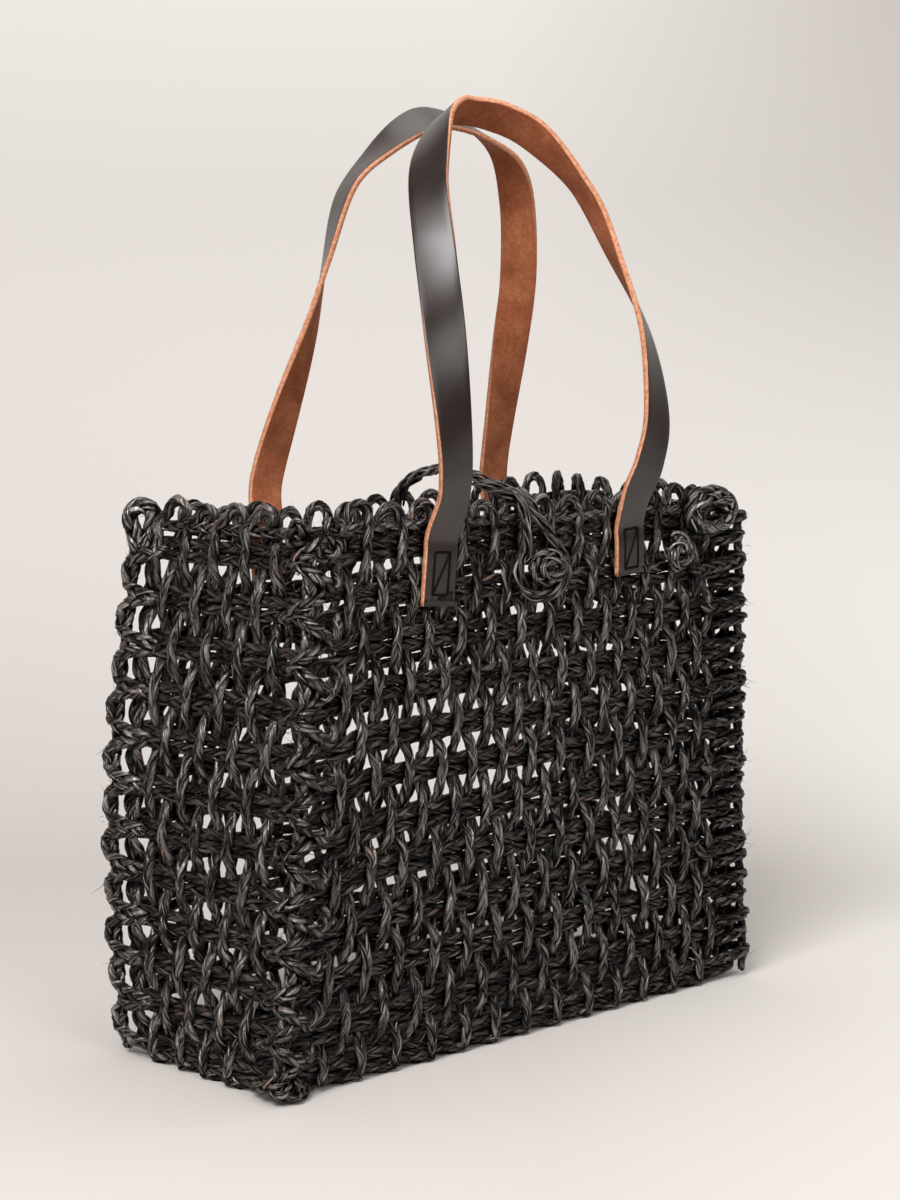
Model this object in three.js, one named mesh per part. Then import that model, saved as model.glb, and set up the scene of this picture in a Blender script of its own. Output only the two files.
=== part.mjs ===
// A tote bag woven from two-ply grass cord, with two leather strap handles and a loop-and-button closure.
// Millimetres, +Z up. The origin is the middle of the base, on the floor; the front panel faces -Y.
import * as THREE from "three";

// Body, measured over the outside of the weave
const BASE_LENGTH = 408;
const BASE_DEPTH = 140;
const RIM_LENGTH = 373;
const RIM_DEPTH = 158;
// How far each upright corner bows out at half height, along X and along Y
const CORNER_BOW = {
  frontLeft: [1, 4],
  frontRight: [0, 0],
  backRight: [0, 0],
  backLeft: [9, 12],
};

// Weave: each course is a pair of weft runs, and each warp leg passes outside and inside them by turns
const WEFT_TALL = 7.6;
const WEFT_THICK = 4.8;
const WEFT_PAIR_SPACING = 8.8;
const WARP_WIDE = 9.5;
const WARP_THICK = 4;
const WARP_OFFSET = 8.1;
const CORD_GAP = 0.45;
const SELVEDGE_GAP = 1.2;
const COURSES = 12;
const COURSE_PITCH = 26.55;
const FRONT_LEGS = 26;
const GUSSET_LEGS = 8;
const RIM_CORD_D = 7.6;
const RIM_CORNER_CUT = 8;
const ARCH_CLEARANCE = 3.6;
// How far the shoulders of the warp's arches and low turns stand off their middles, and its cut ends rise
const ARCH_SHOULDER = 2.5;
const LOW_SHOULDER = 2.2;
const CUT_END_RISE = 3;
const TURN_STEP = 45;

// Base mat between the walls
const BASE_THICKNESS = 8;
const BASE_TUCK = 1.2;

// Corner lacing: a cord that spirals up each corner, one turn a course
const LACING_D = 6;
const LACING_RADIUS = 4;
const LACING_STEPS = 4;
// Side of each corner that the lacing passes on at every course: where the round weft turns are
const LACING_SIDE = { frontLeft: 90, frontRight: 180, backRight: 270, backLeft: 0 };

// Leather straps
const STRAP_WIDTH = 24;
const STRAP_THICKNESS = 3.5;
const STRAP_HINGE_Z = 311;
const STRAP_GAP = 0.3;
const STRAP_OFF_WALL = 0.6;
// The strap turns about its own length as it climbs: degrees, and the heights where each turn starts and ends
const STRAP_TURNS = [[75, 340, 540], [53, 518, 576]];
const STRAP_RINGS = 36;
// Centre, half spacings and heights of the strap ends; then half spacing, depth and height up each leg
const FRONT_STRAP = {
  side: -1,
  centreX: -9,
  endSpacing: 83.4,
  endZ: [271, 278],
  footSpacing: 81,
  legs: [
    [[79, 88, 330], [82.5, 94.3, 350], [86.5, 96.1, 380], [84.7, 87.1, 430], [75.5, 70, 475],
      [64, 52.5, 517], [39.5, 34.7, 549.3], [18.7, 23.8, 561.2]],
    [[80, 88, 330], [84.5, 94.3, 350], [89, 96.1, 380], [88, 87.1, 430], [80, 70, 475],
      [69, 52.5, 517], [45, 34.7, 549.3], [21, 23.8, 561.2]],
  ],
  top: [17, 563.5],
};
const BACK_STRAP = {
  side: 1,
  centreX: 18,
  endSpacing: 103,
  endZ: [276, 276],
  footSpacing: 102.5,
  legs: [
    [[101.5, 85, 330], [99.5, 83, 347], [95, 73.5, 380], [88.5, 57, 430], [84.5, 46, 470],
      [76, 36.5, 515], [55, 27.5, 541], [25, 25, 560.5]],
    [[101.5, 85, 330], [100.5, 83, 347], [97, 73.5, 380], [90, 57, 430], [85.5, 46, 470],
      [75.5, 37.4, 515], [56, 28.4, 542.8], [27.5, 25, 557]],
  ],
  top: [25.7, 563.5],
};

// Box stitch with one diagonal at each strap end
const STITCH_WIDTH = 12.5;
const STITCH_HEIGHT = 25;
const STITCH_ABOVE_END = 5;
const THREAD_WIDTH = 1.4;
const THREAD_DEPTH = 0.8;

// Button: a cord coiled into a shallow dome on the front panel
const BUTTON_AT = [-6, 289.4];
const BUTTON_CORD_D = 4;
const BUTTON_EYE_RADIUS = 4.2;
const BUTTON_TURNS = 1.8;
const BUTTON_DOME = 5;

// Closure: a doubled cord from the back rim over the mouth, and the eye that hangs from it round the button
const CLOSURE_BACK_AT = [20, 79];
const CLOSURE_FRONT_X = -28;
const CLOSURE_WIDTH = 11.5;
const CLOSURE_THICKNESS = 6;
const CLOSURE_ARCH = 9;
const CLOSURE_STEPS = 12;
const EYE_AT = [-6, 286];
const EYE_HALF_WIDTH = 24;
const EYE_HALF_HEIGHT = 18.5;
const EYE_CORD_D = 5.5;
const EYE_LEG_SPACING = 6.2;
const EYE_FIRST_ANGLE = 150;
const EYE_LAST_ANGLE = 390;

// Coils and loops of cord tied off at the corners: place on the panel, half width, half height, cord, turns,
// rise of the middle, and how far the coil settles between the warps
const CORNER_COIL = { at: [146, 314], radii: [25, 17.5], d: 7, turns: 1.25, dome: 0, sink: 0.6 };
const SIDE_KNOT = { at: [115, 291], radii: [9.7, 9.7], d: 4.5, turns: 1, dome: 0, sink: 1.8 };
const COIL_GAP = 0.5;
// Corner loop: distance across and height above the rim at each bend
const CORNER_LOOP_D = 6.5;
const CORNER_LOOP_PATH = [[-4.4, -10], [-4.6, -3], [-9, 4], [-8, 9], [-3, 12], [3, 12], [8, 9], [9, 4],
  [4.6, -3], [4.4, -10]];

const TAN_SLOPE = (2 * WARP_OFFSET) / COURSE_PITCH;
const WALL_HALF = WARP_OFFSET + (WARP_THICK / 2) * Math.hypot(1, TAN_SLOPE);
const PAIR_HALF = WEFT_PAIR_SPACING / 2;
const PAIR_REACH = PAIR_HALF + WEFT_TALL / 2;
// Heights above and below a course where the warp turns over the rim cord and under the lowest course
const LOW_TURN_DROP = PAIR_REACH + CORD_GAP + (WARP_THICK / 2) * 1.04;
const RIM_CORD_RISE = PAIR_REACH + CORD_GAP + RIM_CORD_D / 2;
const ARCH_RISE = RIM_CORD_RISE + RIM_CORD_D / 2 + ARCH_CLEARANCE + WARP_THICK / 2;
const LOW_TURN = [[0.18, -LOW_TURN_DROP + LOW_SHOULDER, 0.68], [0.5, -LOW_TURN_DROP, 0],
  [0.82, -LOW_TURN_DROP + LOW_SHOULDER, -0.68]];
const HIGH_TURN = [[0.08, RIM_CORD_RISE + ARCH_SHOULDER, 0.85], [0.3, ARCH_RISE, 0.4],
  [0.7, ARCH_RISE, -0.4], [0.92, RIM_CORD_RISE + ARCH_SHOULDER, -0.85]];
const FIRST_COURSE_Z = LOW_TURN_DROP + (WARP_THICK / 2) * 1.04 + 0.3;
const TOP_COURSE_Z = FIRST_COURSE_Z + (COURSES - 1) * COURSE_PITCH;
const RIM_Z = TOP_COURSE_Z + RIM_CORD_RISE + RIM_CORD_D / 2;
const ARCH_TOP_Z = TOP_COURSE_Z + ARCH_RISE + (WARP_THICK / 2) * 1.75;
const LACING_REACH = LACING_RADIUS + (LACING_D / 2) * 0.96;
// Half the width of a weft where it is mitred at a turn, and the inset of the first warp leg past it
const TURN_REACH = (WEFT_TALL / 2) * 1.09;
const SELVEDGE = LACING_REACH + CORD_GAP + TURN_REACH;
const LEG_MARGIN = SELVEDGE + TURN_REACH + SELVEDGE_GAP + WARP_WIDE / 2;

const GRASS = { color: 0x1d1916, roughness: 0.62, metalness: 0 };
const LEATHER = { color: 0x3a2a25, roughness: 0.42, metalness: 0 };
const THREAD = { color: 0x171413, roughness: 0.7, metalness: 0 };

const bag = new THREE.Group();

function addMesh(name, geometry, finish) {
  const mesh = new THREE.Mesh(geometry, new THREE.MeshStandardMaterial(finish));
  mesh.name = name;
  bag.add(mesh);
  return mesh;
}

const vec = (x, y, z) => new THREE.Vector3(x, y, z);

// A route made of straight stretches, with the cross-section's two axes given at every ring.
class RingRoute extends THREE.Curve {
  constructor(points, sides, ups) {
    super();
    this.points = points;
    this.sides = sides;
    this.ups = ups;
  }
  getPoint(t) {
    const at = t * (this.points.length - 1);
    const i = Math.min(Math.floor(at), this.points.length - 2);
    return this.points[i].clone().lerp(this.points[i + 1], at - i);
  }
  getSpacedPoints() {
    return this.points;
  }
  computeFrenetFrames() {
    const tangents = this.points.map(() => vec(0, 0, 1));
    return { tangents, normals: this.sides, binormals: this.ups };
  }
}

const outline = (pairs) => new THREE.Shape(pairs.map(([x, y]) => new THREE.Vector2(x, y)));

function diamond(width, thickness) {
  return outline([[width / 2, 0], [0, thickness / 2], [-width / 2, 0], [0, -thickness / 2]]);
}

function rectangle(width, thickness) {
  const x = width / 2;
  const y = thickness / 2;
  return outline([[x, y], [-x, y], [-x, -y], [x, -y]]);
}

function roundSection(diameter, sides) {
  const pairs = [];
  for (let i = 0; i < sides; i += 1) {
    const angle = ((i + 0.5) * 2 * Math.PI) / sides;
    pairs.push([(Math.cos(angle) * diameter) / 2, (Math.sin(angle) * diameter) / 2]);
  }
  return outline(pairs);
}

function sweep(section, points, sides, ups) {
  const extrudePath = new RingRoute(points, sides, ups);
  return new THREE.ExtrudeGeometry(section, { steps: points.length - 1, extrudePath, curveSegments: 1 });
}

// A cord along a route of straight stretches, mitred at every bend. The section's X axis stays as near
// to the given direction as square to the cord allows.
function cord(points, section, direction) {
  const runs = points.slice(1).map((p, i) => p.clone().sub(points[i]).normalize());
  const sides = [];
  const ups = [];
  points.forEach((p, i) => {
    const before = runs[Math.max(i - 1, 0)];
    const after = runs[Math.min(i, runs.length - 1)];
    const mitre = before.clone().add(after).normalize();
    const side = direction.clone().addScaledVector(mitre, -direction.dot(mitre)).normalize();
    const up = mitre.clone().cross(side);
    const bend = after.clone().sub(before);
    if (bend.length() > 1e-9) {
      const stretch = 1 / mitre.dot(after) - 1;
      bend.normalize();
      side.addScaledVector(bend, stretch * side.dot(bend));
      up.addScaledVector(bend, stretch * up.dot(bend));
    }
    sides.push(side);
    ups.push(up);
  });
  return sweep(section, points, sides, ups);
}

// Upright corner of the body: the line where two panels' middle surfaces meet.
const CORNER_SIGNS = { frontLeft: [-1, -1], frontRight: [1, -1], backRight: [1, 1], backLeft: [-1, 1] };
function cornerAxis(corner, z) {
  const share = z / RIM_Z;
  const [signX, signY] = CORNER_SIGNS[corner];
  const bow = Math.sin(Math.PI * Math.min(share, 1));
  const halfLength = THREE.MathUtils.lerp(BASE_LENGTH, RIM_LENGTH, share) / 2 - WALL_HALF;
  const halfDepth = THREE.MathUtils.lerp(BASE_DEPTH, RIM_DEPTH, share) / 2 - WALL_HALF;
  const [bowX, bowY] = CORNER_BOW[corner];
  return vec(signX * (halfLength + bow * bowX), signY * (halfDepth + bow * bowY), z);
}

// A wall between two corners. at() takes the inset of its ends, the share of the way along, the height
// and the distance out of the middle surface; atX() takes the bag's own X instead of a share.
function wall(from, to) {
  const frame = (z) => {
    const start = cornerAxis(from, z);
    const along = cornerAxis(to, z).sub(start);
    const length = along.length();
    along.normalize();
    return { start, along, length, out: along.clone().cross(vec(0, 0, 1)) };
  };
  const at = (inset, share, z, out) => {
    const f = frame(z);
    const run = inset + share * (f.length - 2 * inset);
    return f.start.addScaledVector(f.along, run).addScaledVector(f.out, out);
  };
  const atX = (x, z, out) => {
    const f = frame(z);
    const middle = f.start.clone().addScaledVector(f.along, (x - f.start.x) / f.along.x);
    return vec(x, middle.y + Math.sign(f.out.y) * out, z);
  };
  return { frame, at, atX };
}
const WALLS = {
  front: wall("frontLeft", "frontRight"),
  right: wall("frontRight", "backRight"),
  back: wall("backRight", "backLeft"),
  left: wall("backLeft", "frontLeft"),
};

// The weft: one cord that passes twice in each course, with a round turn between the two runs and, at
// the other selvedge, two quarter turns down to the next course.
function weftCord(panel) {
  const points = [];
  const arc = (end, centreZ, from, to) => {
    const steps = Math.abs(to - from) / TURN_STEP;
    for (let i = 0; i <= steps; i += 1) {
      const angle = THREE.MathUtils.degToRad(from + ((to - from) * i) / steps);
      const inset = SELVEDGE + PAIR_HALF * (1 - Math.cos(angle));
      points.push(panel.at(inset, end, centreZ + PAIR_HALF * Math.sin(angle), 0));
    }
  };
  for (let k = COURSES - 1; k >= 0; k -= 1) {
    const z = FIRST_COURSE_Z + k * COURSE_PITCH;
    if (k < COURSES - 1) arc(0, z + 2 * PAIR_HALF, 0, -90);
    else points.push(panel.at(SELVEDGE + PAIR_HALF, 0, z + PAIR_HALF, 0));
    arc(1, z, 90, -90);
    if (k > 0) arc(0, z - 2 * PAIR_HALF, 90, 0);
    else points.push(panel.at(SELVEDGE + PAIR_HALF, 0, z - PAIR_HALF, 0));
  }
  return cord(points, diamond(WEFT_THICK, WEFT_TALL), panel.frame(FIRST_COURSE_Z).out);
}

// The warp: one cord of upright legs in plain weave, joined in arches over the rim cord and in turns
// under the lowest course.
function warpCord(panel, legs) {
  const points = [];
  const offset = (leg, course) => ((leg + course) % 2 === 0 ? WARP_OFFSET : -WARP_OFFSET);
  const legPoint = (leg, z, out) => panel.at(LEG_MARGIN, leg / (legs - 1), z, out);
  const tail = (leg) => legPoint(leg, FIRST_COURSE_Z - LOW_TURN_DROP + CUT_END_RISE, offset(leg, 0) * 0.8);
  points.push(tail(0));
  for (let leg = 0; leg < legs; leg += 1) {
    const rising = leg % 2 === 0;
    for (let i = 0; i < COURSES; i += 1) {
      const course = rising ? i : COURSES - 1 - i;
      points.push(legPoint(leg, FIRST_COURSE_Z + course * COURSE_PITCH, offset(leg, course)));
    }
    if (leg === legs - 1) break;
    const endCourse = rising ? COURSES - 1 : 0;
    const endZ = FIRST_COURSE_Z + endCourse * COURSE_PITCH;
    for (const [share, rise, out] of rising ? HIGH_TURN : LOW_TURN) {
      points.push(legPoint(leg + share, endZ + rise, offset(leg, endCourse) * out));
    }
  }
  points.push(tail(legs - 1));
  return cord(points, rectangle(WARP_WIDE, WARP_THICK), panel.frame(FIRST_COURSE_Z).along);
}

for (const [name, panel] of Object.entries(WALLS)) {
  const legs = name === "front" || name === "back" ? FRONT_LEGS : GUSSET_LEGS;
  addMesh(name + "_weft_cord", weftCord(panel), GRASS);
  addMesh(name + "_warp_cord", warpCord(panel, legs), GRASS);
}

// Base: a flat mat that fills the floor of the bag between the walls.
const innerHalf = (over) => over / 2 - 2 * WALL_HALF - CORD_GAP + BASE_TUCK;
const baseDrawIn = ((BASE_LENGTH - RIM_LENGTH) / 2) * (BASE_THICKNESS / RIM_Z);
const base = new THREE.BoxGeometry(2 * (innerHalf(BASE_LENGTH) - baseDrawIn), 2 * innerHalf(BASE_DEPTH),
  BASE_THICKNESS);
base.translate(0, 0, BASE_THICKNESS / 2);
addMesh("base", base, GRASS);

// Rim cord: one turn round the mouth on top of the highest courses, its ends meeting at a back corner.
const rimPoints = [];
for (const name of ["left", "front", "right", "back"]) {
  const z = TOP_COURSE_Z + RIM_CORD_RISE;
  rimPoints.push(WALLS[name].at(RIM_CORNER_CUT, 0, z, 0), WALLS[name].at(RIM_CORNER_CUT, 1, z, 0));
}
addMesh("rim_cord", cord(rimPoints, roundSection(RIM_CORD_D, 6), vec(0, 0, 1)), GRASS);

// Corner lacing
function lacingCord(corner) {
  const points = [];
  for (let i = -1; i <= (COURSES - 1) * LACING_STEPS; i += 1) {
    const angle = THREE.MathUtils.degToRad(LACING_SIDE[corner] + (i * 360) / LACING_STEPS);
    const z = FIRST_COURSE_Z + (i * COURSE_PITCH) / LACING_STEPS;
    const centre = cornerAxis(corner, z);
    points.push(vec(
      centre.x + LACING_RADIUS * Math.cos(angle),
      centre.y + LACING_RADIUS * Math.sin(angle),
      z,
    ));
  }
  return cord(points, roundSection(LACING_D, 5), vec(0, 0, 1));
}
for (const corner of Object.keys(CORNER_SIGNS)) {
  addMesh(corner.replace(/[A-Z]/, (c) => "_" + c.toLowerCase()) + "_lacing", lacingCord(corner), GRASS);
}

// Handles: each a flat strap whose legs stand on stitched ends; the strap turns its width from along
// the bag at the legs to across it at the top. Above the hinge line it swings; below it is stitched down.
function strapWallPoint(strap, x, z) {
  const panel = strap.side < 0 ? WALLS.front : WALLS.back;
  return panel.atX(x, z, WALL_HALF + STRAP_OFF_WALL + STRAP_THICKNESS / 2);
}
function strapFootY(strap) {
  const feet = [-1, 1].map((leg) =>
    strapWallPoint(strap, strap.centreX + leg * strap.footSpacing, STRAP_HINGE_Z).y);
  return strap.side * Math.max(...feet.map(Math.abs));
}
function handleStrap(strap) {
  const legPoint = (leg, [spacing, depth, z]) => vec(strap.centreX + leg * spacing, strap.side * depth, z);
  const footY = strapFootY(strap);
  const foot = (leg) => vec(strap.centreX + leg * strap.footSpacing, footY, STRAP_HINGE_Z + STRAP_GAP / 2);
  const top = vec(strap.centreX, strap.side * strap.top[0], strap.top[1]);
  const [left, right] = strap.legs;
  const control = [foot(-1), ...left.map((p) => legPoint(-1, p)), top,
    ...right.toReversed().map((p) => legPoint(1, p)), foot(1)];
  const route = new THREE.CatmullRomCurve3(control, false, "centripetal");
  const points = route.getSpacedPoints(STRAP_RINGS);
  const sides = [];
  const ups = [];
  points.forEach((p, i) => {
    const tangent = route.getTangentAt(i / STRAP_RINGS);
    const turned = STRAP_TURNS.reduce((sum, [degrees, from, to]) =>
      sum + degrees * THREE.MathUtils.smoothstep(p.z, from, to), 0);
    const outOfArch = tangent.clone().cross(vec(0, -1, 0)).normalize();
    const through = tangent.clone().cross(outOfArch);
    const twist = -strap.side * THREE.MathUtils.degToRad(turned);
    let side = outOfArch.multiplyScalar(Math.cos(twist)).addScaledVector(through, -Math.sin(twist));
    if (i === 0) side = vec(-1, 0, 0);
    if (i === STRAP_RINGS) side = vec(1, 0, 0);
    sides.push(side);
    ups.push(i % STRAP_RINGS === 0 ? vec(0, -1, 0) : tangent.clone().cross(side));
  });
  return sweep(rectangle(STRAP_WIDTH, STRAP_THICKNESS), points, sides, ups);
}
function strapEnd(strap, leg) {
  const low = strapWallPoint(strap, strap.centreX + leg * strap.endSpacing, strap.endZ[leg < 0 ? 0 : 1]);
  const high = vec(strap.centreX + leg * strap.footSpacing, strapFootY(strap), STRAP_HINGE_Z - STRAP_GAP / 2);
  const ends = [low, high];
  const across = ends.map(() => vec(-1, 0, 0));
  const through = ends.map(() => vec(0, -1, 0));
  return { low, high, geometry: sweep(rectangle(STRAP_WIDTH, STRAP_THICKNESS), ends, across, through) };
}
// The stitched box with its diagonal, as one flat thread that lies on the strap's outer face.
function boxStitch(strap, end) {
  const x = STITCH_WIDTH / 2;
  const y = STITCH_HEIGHT / 2;
  const shape = outline([[-x, -y], [x, -y], [x, y], [-x, y]]);
  const a = x - THREAD_WIDTH;
  const b = y - THREAD_WIDTH;
  const shift = (THREAD_WIDTH / 2) * Math.hypot(a, b);
  const upper = [[-a, b], [a - shift / b, b], [-a, -b + shift / a]];
  const triangle = (pairs) => new THREE.Path(pairs.map(([px, py]) => new THREE.Vector2(px, py)));
  shape.holes.push(triangle(upper), triangle(upper.map(([px, py]) => [-px, -py])));
  const geometry = new THREE.ExtrudeGeometry(shape, { depth: THREAD_DEPTH, bevelEnabled: false });
  const upward = end.high.clone().sub(end.low).normalize();
  const sideways = vec(-strap.side, 0, 0);
  sideways.addScaledVector(upward, -sideways.dot(upward)).normalize();
  const outward = sideways.clone().cross(upward);
  const centre = end.low.clone().addScaledVector(upward, STITCH_ABOVE_END + y)
    .addScaledVector(outward, STRAP_THICKNESS / 2 + STRAP_GAP);
  geometry.applyMatrix4(new THREE.Matrix4().makeBasis(sideways, upward, outward).setPosition(centre));
  return geometry;
}
for (const [name, strap] of [["front", FRONT_STRAP], ["back", BACK_STRAP]]) {
  addMesh(name + "_handle", handleStrap(strap), LEATHER);
  for (const [leg, hand] of [[-1, "left"], [1, "right"]]) {
    const end = strapEnd(strap, leg);
    addMesh(name + "_" + hand + "_strap_end", end.geometry, LEATHER);
    addMesh(name + "_" + hand + "_stitch", boxStitch(strap, end), THREAD);
  }
}

// A cord coiled flat on the front panel, from the middle out, its ends straight for one diameter.
function coil(name, { at: [x, z], radii, d, turns, dome, sink }) {
  const pitch = d + COIL_GAP;
  const steps = Math.round(turns * 24);
  const points = [];
  const place = (dx, dz, rise) => WALLS.front.atX(x + dx, z + dz, WALL_HALF + CORD_GAP + d / 2 + rise - sink);
  for (let i = 0; i <= steps; i += 1) {
    const angle = (i * 2 * Math.PI) / 24;
    const inward = ((steps - i) / 24) * pitch;
    const shareOut = (radii[0] - inward) / radii[0];
    points.push(place((radii[0] - inward) * Math.cos(angle), (radii[1] - inward) * Math.sin(angle),
      dome * (1 - shareOut * shareOut)));
  }
  const back = points[0].clone().sub(points[1]).setLength(0.6 * d);
  points.unshift(points[0].clone().add(back).add(vec(-0.8 * d, 0, 0)));
  points.push(points.at(-1).clone().add(points.at(-1).clone().sub(points.at(-2)).setLength(d)));
  let leastGap = Infinity;
  points.forEach((p, i) => points.slice(i + 12).forEach((q) => {
    leastGap = Math.min(leastGap, p.distanceTo(q) - d);
  }));
  console.log(name + " least gap to itself " + leastGap.toFixed(2) + " mm");
  return addMesh(name, cord(points, roundSection(d, 6), vec(0, -1, 0)), GRASS);
}
const buttonRadius = BUTTON_EYE_RADIUS + BUTTON_TURNS * (BUTTON_CORD_D + COIL_GAP);
coil("rosette_button", {
  at: BUTTON_AT,
  radii: [buttonRadius, buttonRadius],
  d: BUTTON_CORD_D,
  turns: BUTTON_TURNS,
  dome: BUTTON_DOME,
  sink: 0,
});
coil("corner_coil", CORNER_COIL);
coil("side_knot", SIDE_KNOT);

// Closure cord: from its hinge on the back rim, in a low arch over the mouth, to just past the front rim.
const eyeOut = WALL_HALF + CORD_GAP + EYE_CORD_D / 2;
const closureLow = ARCH_TOP_Z + CORD_GAP + CLOSURE_THICKNESS / 2;
const eyeTop = WALLS.front.atX(CLOSURE_FRONT_X, RIM_Z, eyeOut);
const closureEndY = eyeTop.y + EYE_CORD_D / 2 + CORD_GAP;
const closurePoints = [];
for (let i = 0; i <= CLOSURE_STEPS; i += 1) {
  const share = i / CLOSURE_STEPS;
  const drift = THREE.MathUtils.smoothstep(share, 1 / CLOSURE_STEPS, 1 - 1 / CLOSURE_STEPS);
  closurePoints.push(vec(
    THREE.MathUtils.lerp(CLOSURE_BACK_AT[0], CLOSURE_FRONT_X, drift),
    THREE.MathUtils.lerp(CLOSURE_BACK_AT[1], closureEndY, share),
    closureLow + CLOSURE_ARCH * Math.sin(Math.PI * THREE.MathUtils.clamp((share - 0.14) / 0.72, 0, 1)),
  ));
}
const closureSection = rectangle(CLOSURE_WIDTH, CLOSURE_THICKNESS);
addMesh("closure_cord", cord(closurePoints, closureSection, vec(1, 0, 0)), GRASS);

// Closure eye: one cord that hangs from the closure cord's end and loops round the button.
const eyeAt = (x, z) => WALLS.front.atX(x, z, eyeOut);
const eyePoints = [vec(CLOSURE_FRONT_X - EYE_LEG_SPACING / 2, eyeTop.y, closureLow)];
for (let angle = EYE_FIRST_ANGLE; angle <= EYE_LAST_ANGLE; angle += 15) {
  const turn = THREE.MathUtils.degToRad(angle);
  const x = EYE_AT[0] + EYE_HALF_WIDTH * Math.cos(turn);
  const z = EYE_AT[1] + EYE_HALF_HEIGHT * Math.sin(turn);
  eyePoints.push(eyeAt(x, z));
}
eyePoints.push(vec(CLOSURE_FRONT_X + EYE_LEG_SPACING / 2, eyeTop.y, closureLow));
addMesh("closure_eye", cord(eyePoints, roundSection(EYE_CORD_D, 6), vec(0, -1, 0)), GRASS);

// Back-left corner loop: the end of the lacing cord, left standing as a loop above the corner.
const cornerTop = cornerAxis("backLeft", RIM_Z);
const loopPoints = CORNER_LOOP_PATH.map(([across, rise]) =>
  cornerTop.clone().add(vec(across * Math.SQRT1_2, -across * Math.SQRT1_2, rise)));
addMesh("corner_loop", cord(loopPoints, roundSection(CORNER_LOOP_D, 6), vec(1, 1, 0)), GRASS);
export default bag;
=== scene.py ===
"""A tote bag woven from near-black plaited grass cord, with leather strap handles and a cord closure."""

import math

import bmesh
import bpy
import numpy as np
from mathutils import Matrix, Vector


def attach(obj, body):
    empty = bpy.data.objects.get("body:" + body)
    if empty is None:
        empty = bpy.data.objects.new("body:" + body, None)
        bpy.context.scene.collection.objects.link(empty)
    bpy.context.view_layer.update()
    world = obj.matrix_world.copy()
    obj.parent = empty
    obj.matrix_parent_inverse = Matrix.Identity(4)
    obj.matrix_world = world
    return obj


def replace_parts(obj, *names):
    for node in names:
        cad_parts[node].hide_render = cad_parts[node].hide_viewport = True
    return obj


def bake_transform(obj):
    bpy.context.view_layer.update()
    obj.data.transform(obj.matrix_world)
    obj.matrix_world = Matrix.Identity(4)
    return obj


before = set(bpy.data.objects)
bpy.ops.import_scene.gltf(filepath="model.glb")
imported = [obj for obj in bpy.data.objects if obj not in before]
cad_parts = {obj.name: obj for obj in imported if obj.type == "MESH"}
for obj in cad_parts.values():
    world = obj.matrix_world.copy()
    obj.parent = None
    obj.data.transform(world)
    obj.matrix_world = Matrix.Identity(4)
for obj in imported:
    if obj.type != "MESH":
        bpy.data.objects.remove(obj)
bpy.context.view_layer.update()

# ---- Base mat ----
# The floor of the bag is the same grass cord, woven flat and laid between the walls. Dyed grass is
# nearly black, with brown hints where the dye is thin, and its long flat fibres catch thin highlights.
MM = 0.001
LINEAR_KNEE = 0.04045


def tone(hex_value):
    """An sRGB hex colour as linear RGBA."""
    channels = [int(hex_value[i:i + 2], 16) / 255 for i in (0, 2, 4)]
    return [c / 12.92 if c <= LINEAR_KNEE else ((c + 0.055) / 1.055) ** 2.4 for c in channels] + [1.0]


def connect(material, node, inputs):
    """Sets each named or numbered input of a node, or links it where the value is another node's output."""
    for name, value in dict(inputs).items():
        if isinstance(value, bpy.types.NodeSocket):
            material.node_tree.links.new(value, node.inputs[name])
        else:
            node.inputs[name].default_value = value


# Map Range's inputs 1 to 4 are its lowest and highest value in, and then out. Mix's inputs 0, 6 and 7 are
# the share of the second colour, and the two colours.
def add_node(material, kind, inputs=(), stops=(), **settings):
    """Adds a node, with its own settings, its inputs, and its colour stops as (position, hex)."""
    node = material.node_tree.nodes.new(kind)
    for name, value in settings.items():
        setattr(node, name, value)
    connect(material, node, inputs)
    if stops:
        elements = node.color_ramp.elements
        while len(elements) < len(stops):
            elements.new(0.5)
        for element, (position, colour) in zip(elements, stops):
            element.position = position
            element.color = tone(colour)
    return node


def new_material(name):
    """A material and its shader."""
    material = bpy.data.materials.new(name)
    material.use_nodes = True
    return material, material.node_tree.nodes["Principled BSDF"]


# Dyed, plaited grass: satin fibres that run along each strand, black with thin grey glints and brown
# where the dye is thin. The fibre attribute holds metres along the strand and a point on a circle round
# it. Real fibres are 0.3 mm wide; they are drawn about 1 mm wide so that they show from a step away.
DARK_FIBRES = [(0.36, "070605"), (0.48, "13110f"), (0.56, "25201c"), (0.64, "453d37"), (0.74, "7d7168")]
# Paler copy of the same tones: painted light for the cords that stand proud
PAINTED_LIT_FIBRES = [(0.35, "080706"), (0.47, "191613"), (0.55, "332e29"), (0.63, "63594f"), (0.73, "a99d90")]
# Palest copy of the same tones: painted highlights for the button, the closure, the loop, the coil and the
# side knot
PAINTED_GLINT_FIBRES = [(0.34, "0a0908"), (0.46, "211e1b"), (0.54, "443e39"), (0.62, "94887d"), (0.72, "dcd1c6")]
BROWN_FIBRES = [(0.36, "090706"), (0.48, "211611"), (0.58, "49301f"), (0.7, "86593f")]
# Noise cells for each metre along a strand and each radius round it: streaks of single fibres, patches of
# thinner dye, and the places where it is thin enough to show brown
STREAK_CELLS, PATCH_CELLS, BROWN_CELLS = (60, 2.0, 2.0), (45, 0.9, 0.9), (30, 1.6, 1.6)
BROWN_START = (7, 3, 5)
# How near another cord must come for painted shade to darken a crevice, and how far the fibres stand up, in
# metres; then the near-black tone of that painted shade
CREVICE_REACH, FIBRE_RELIEF = 0.009, 0.0012
PAINTED_SHADE_TONE = "030302"


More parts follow.
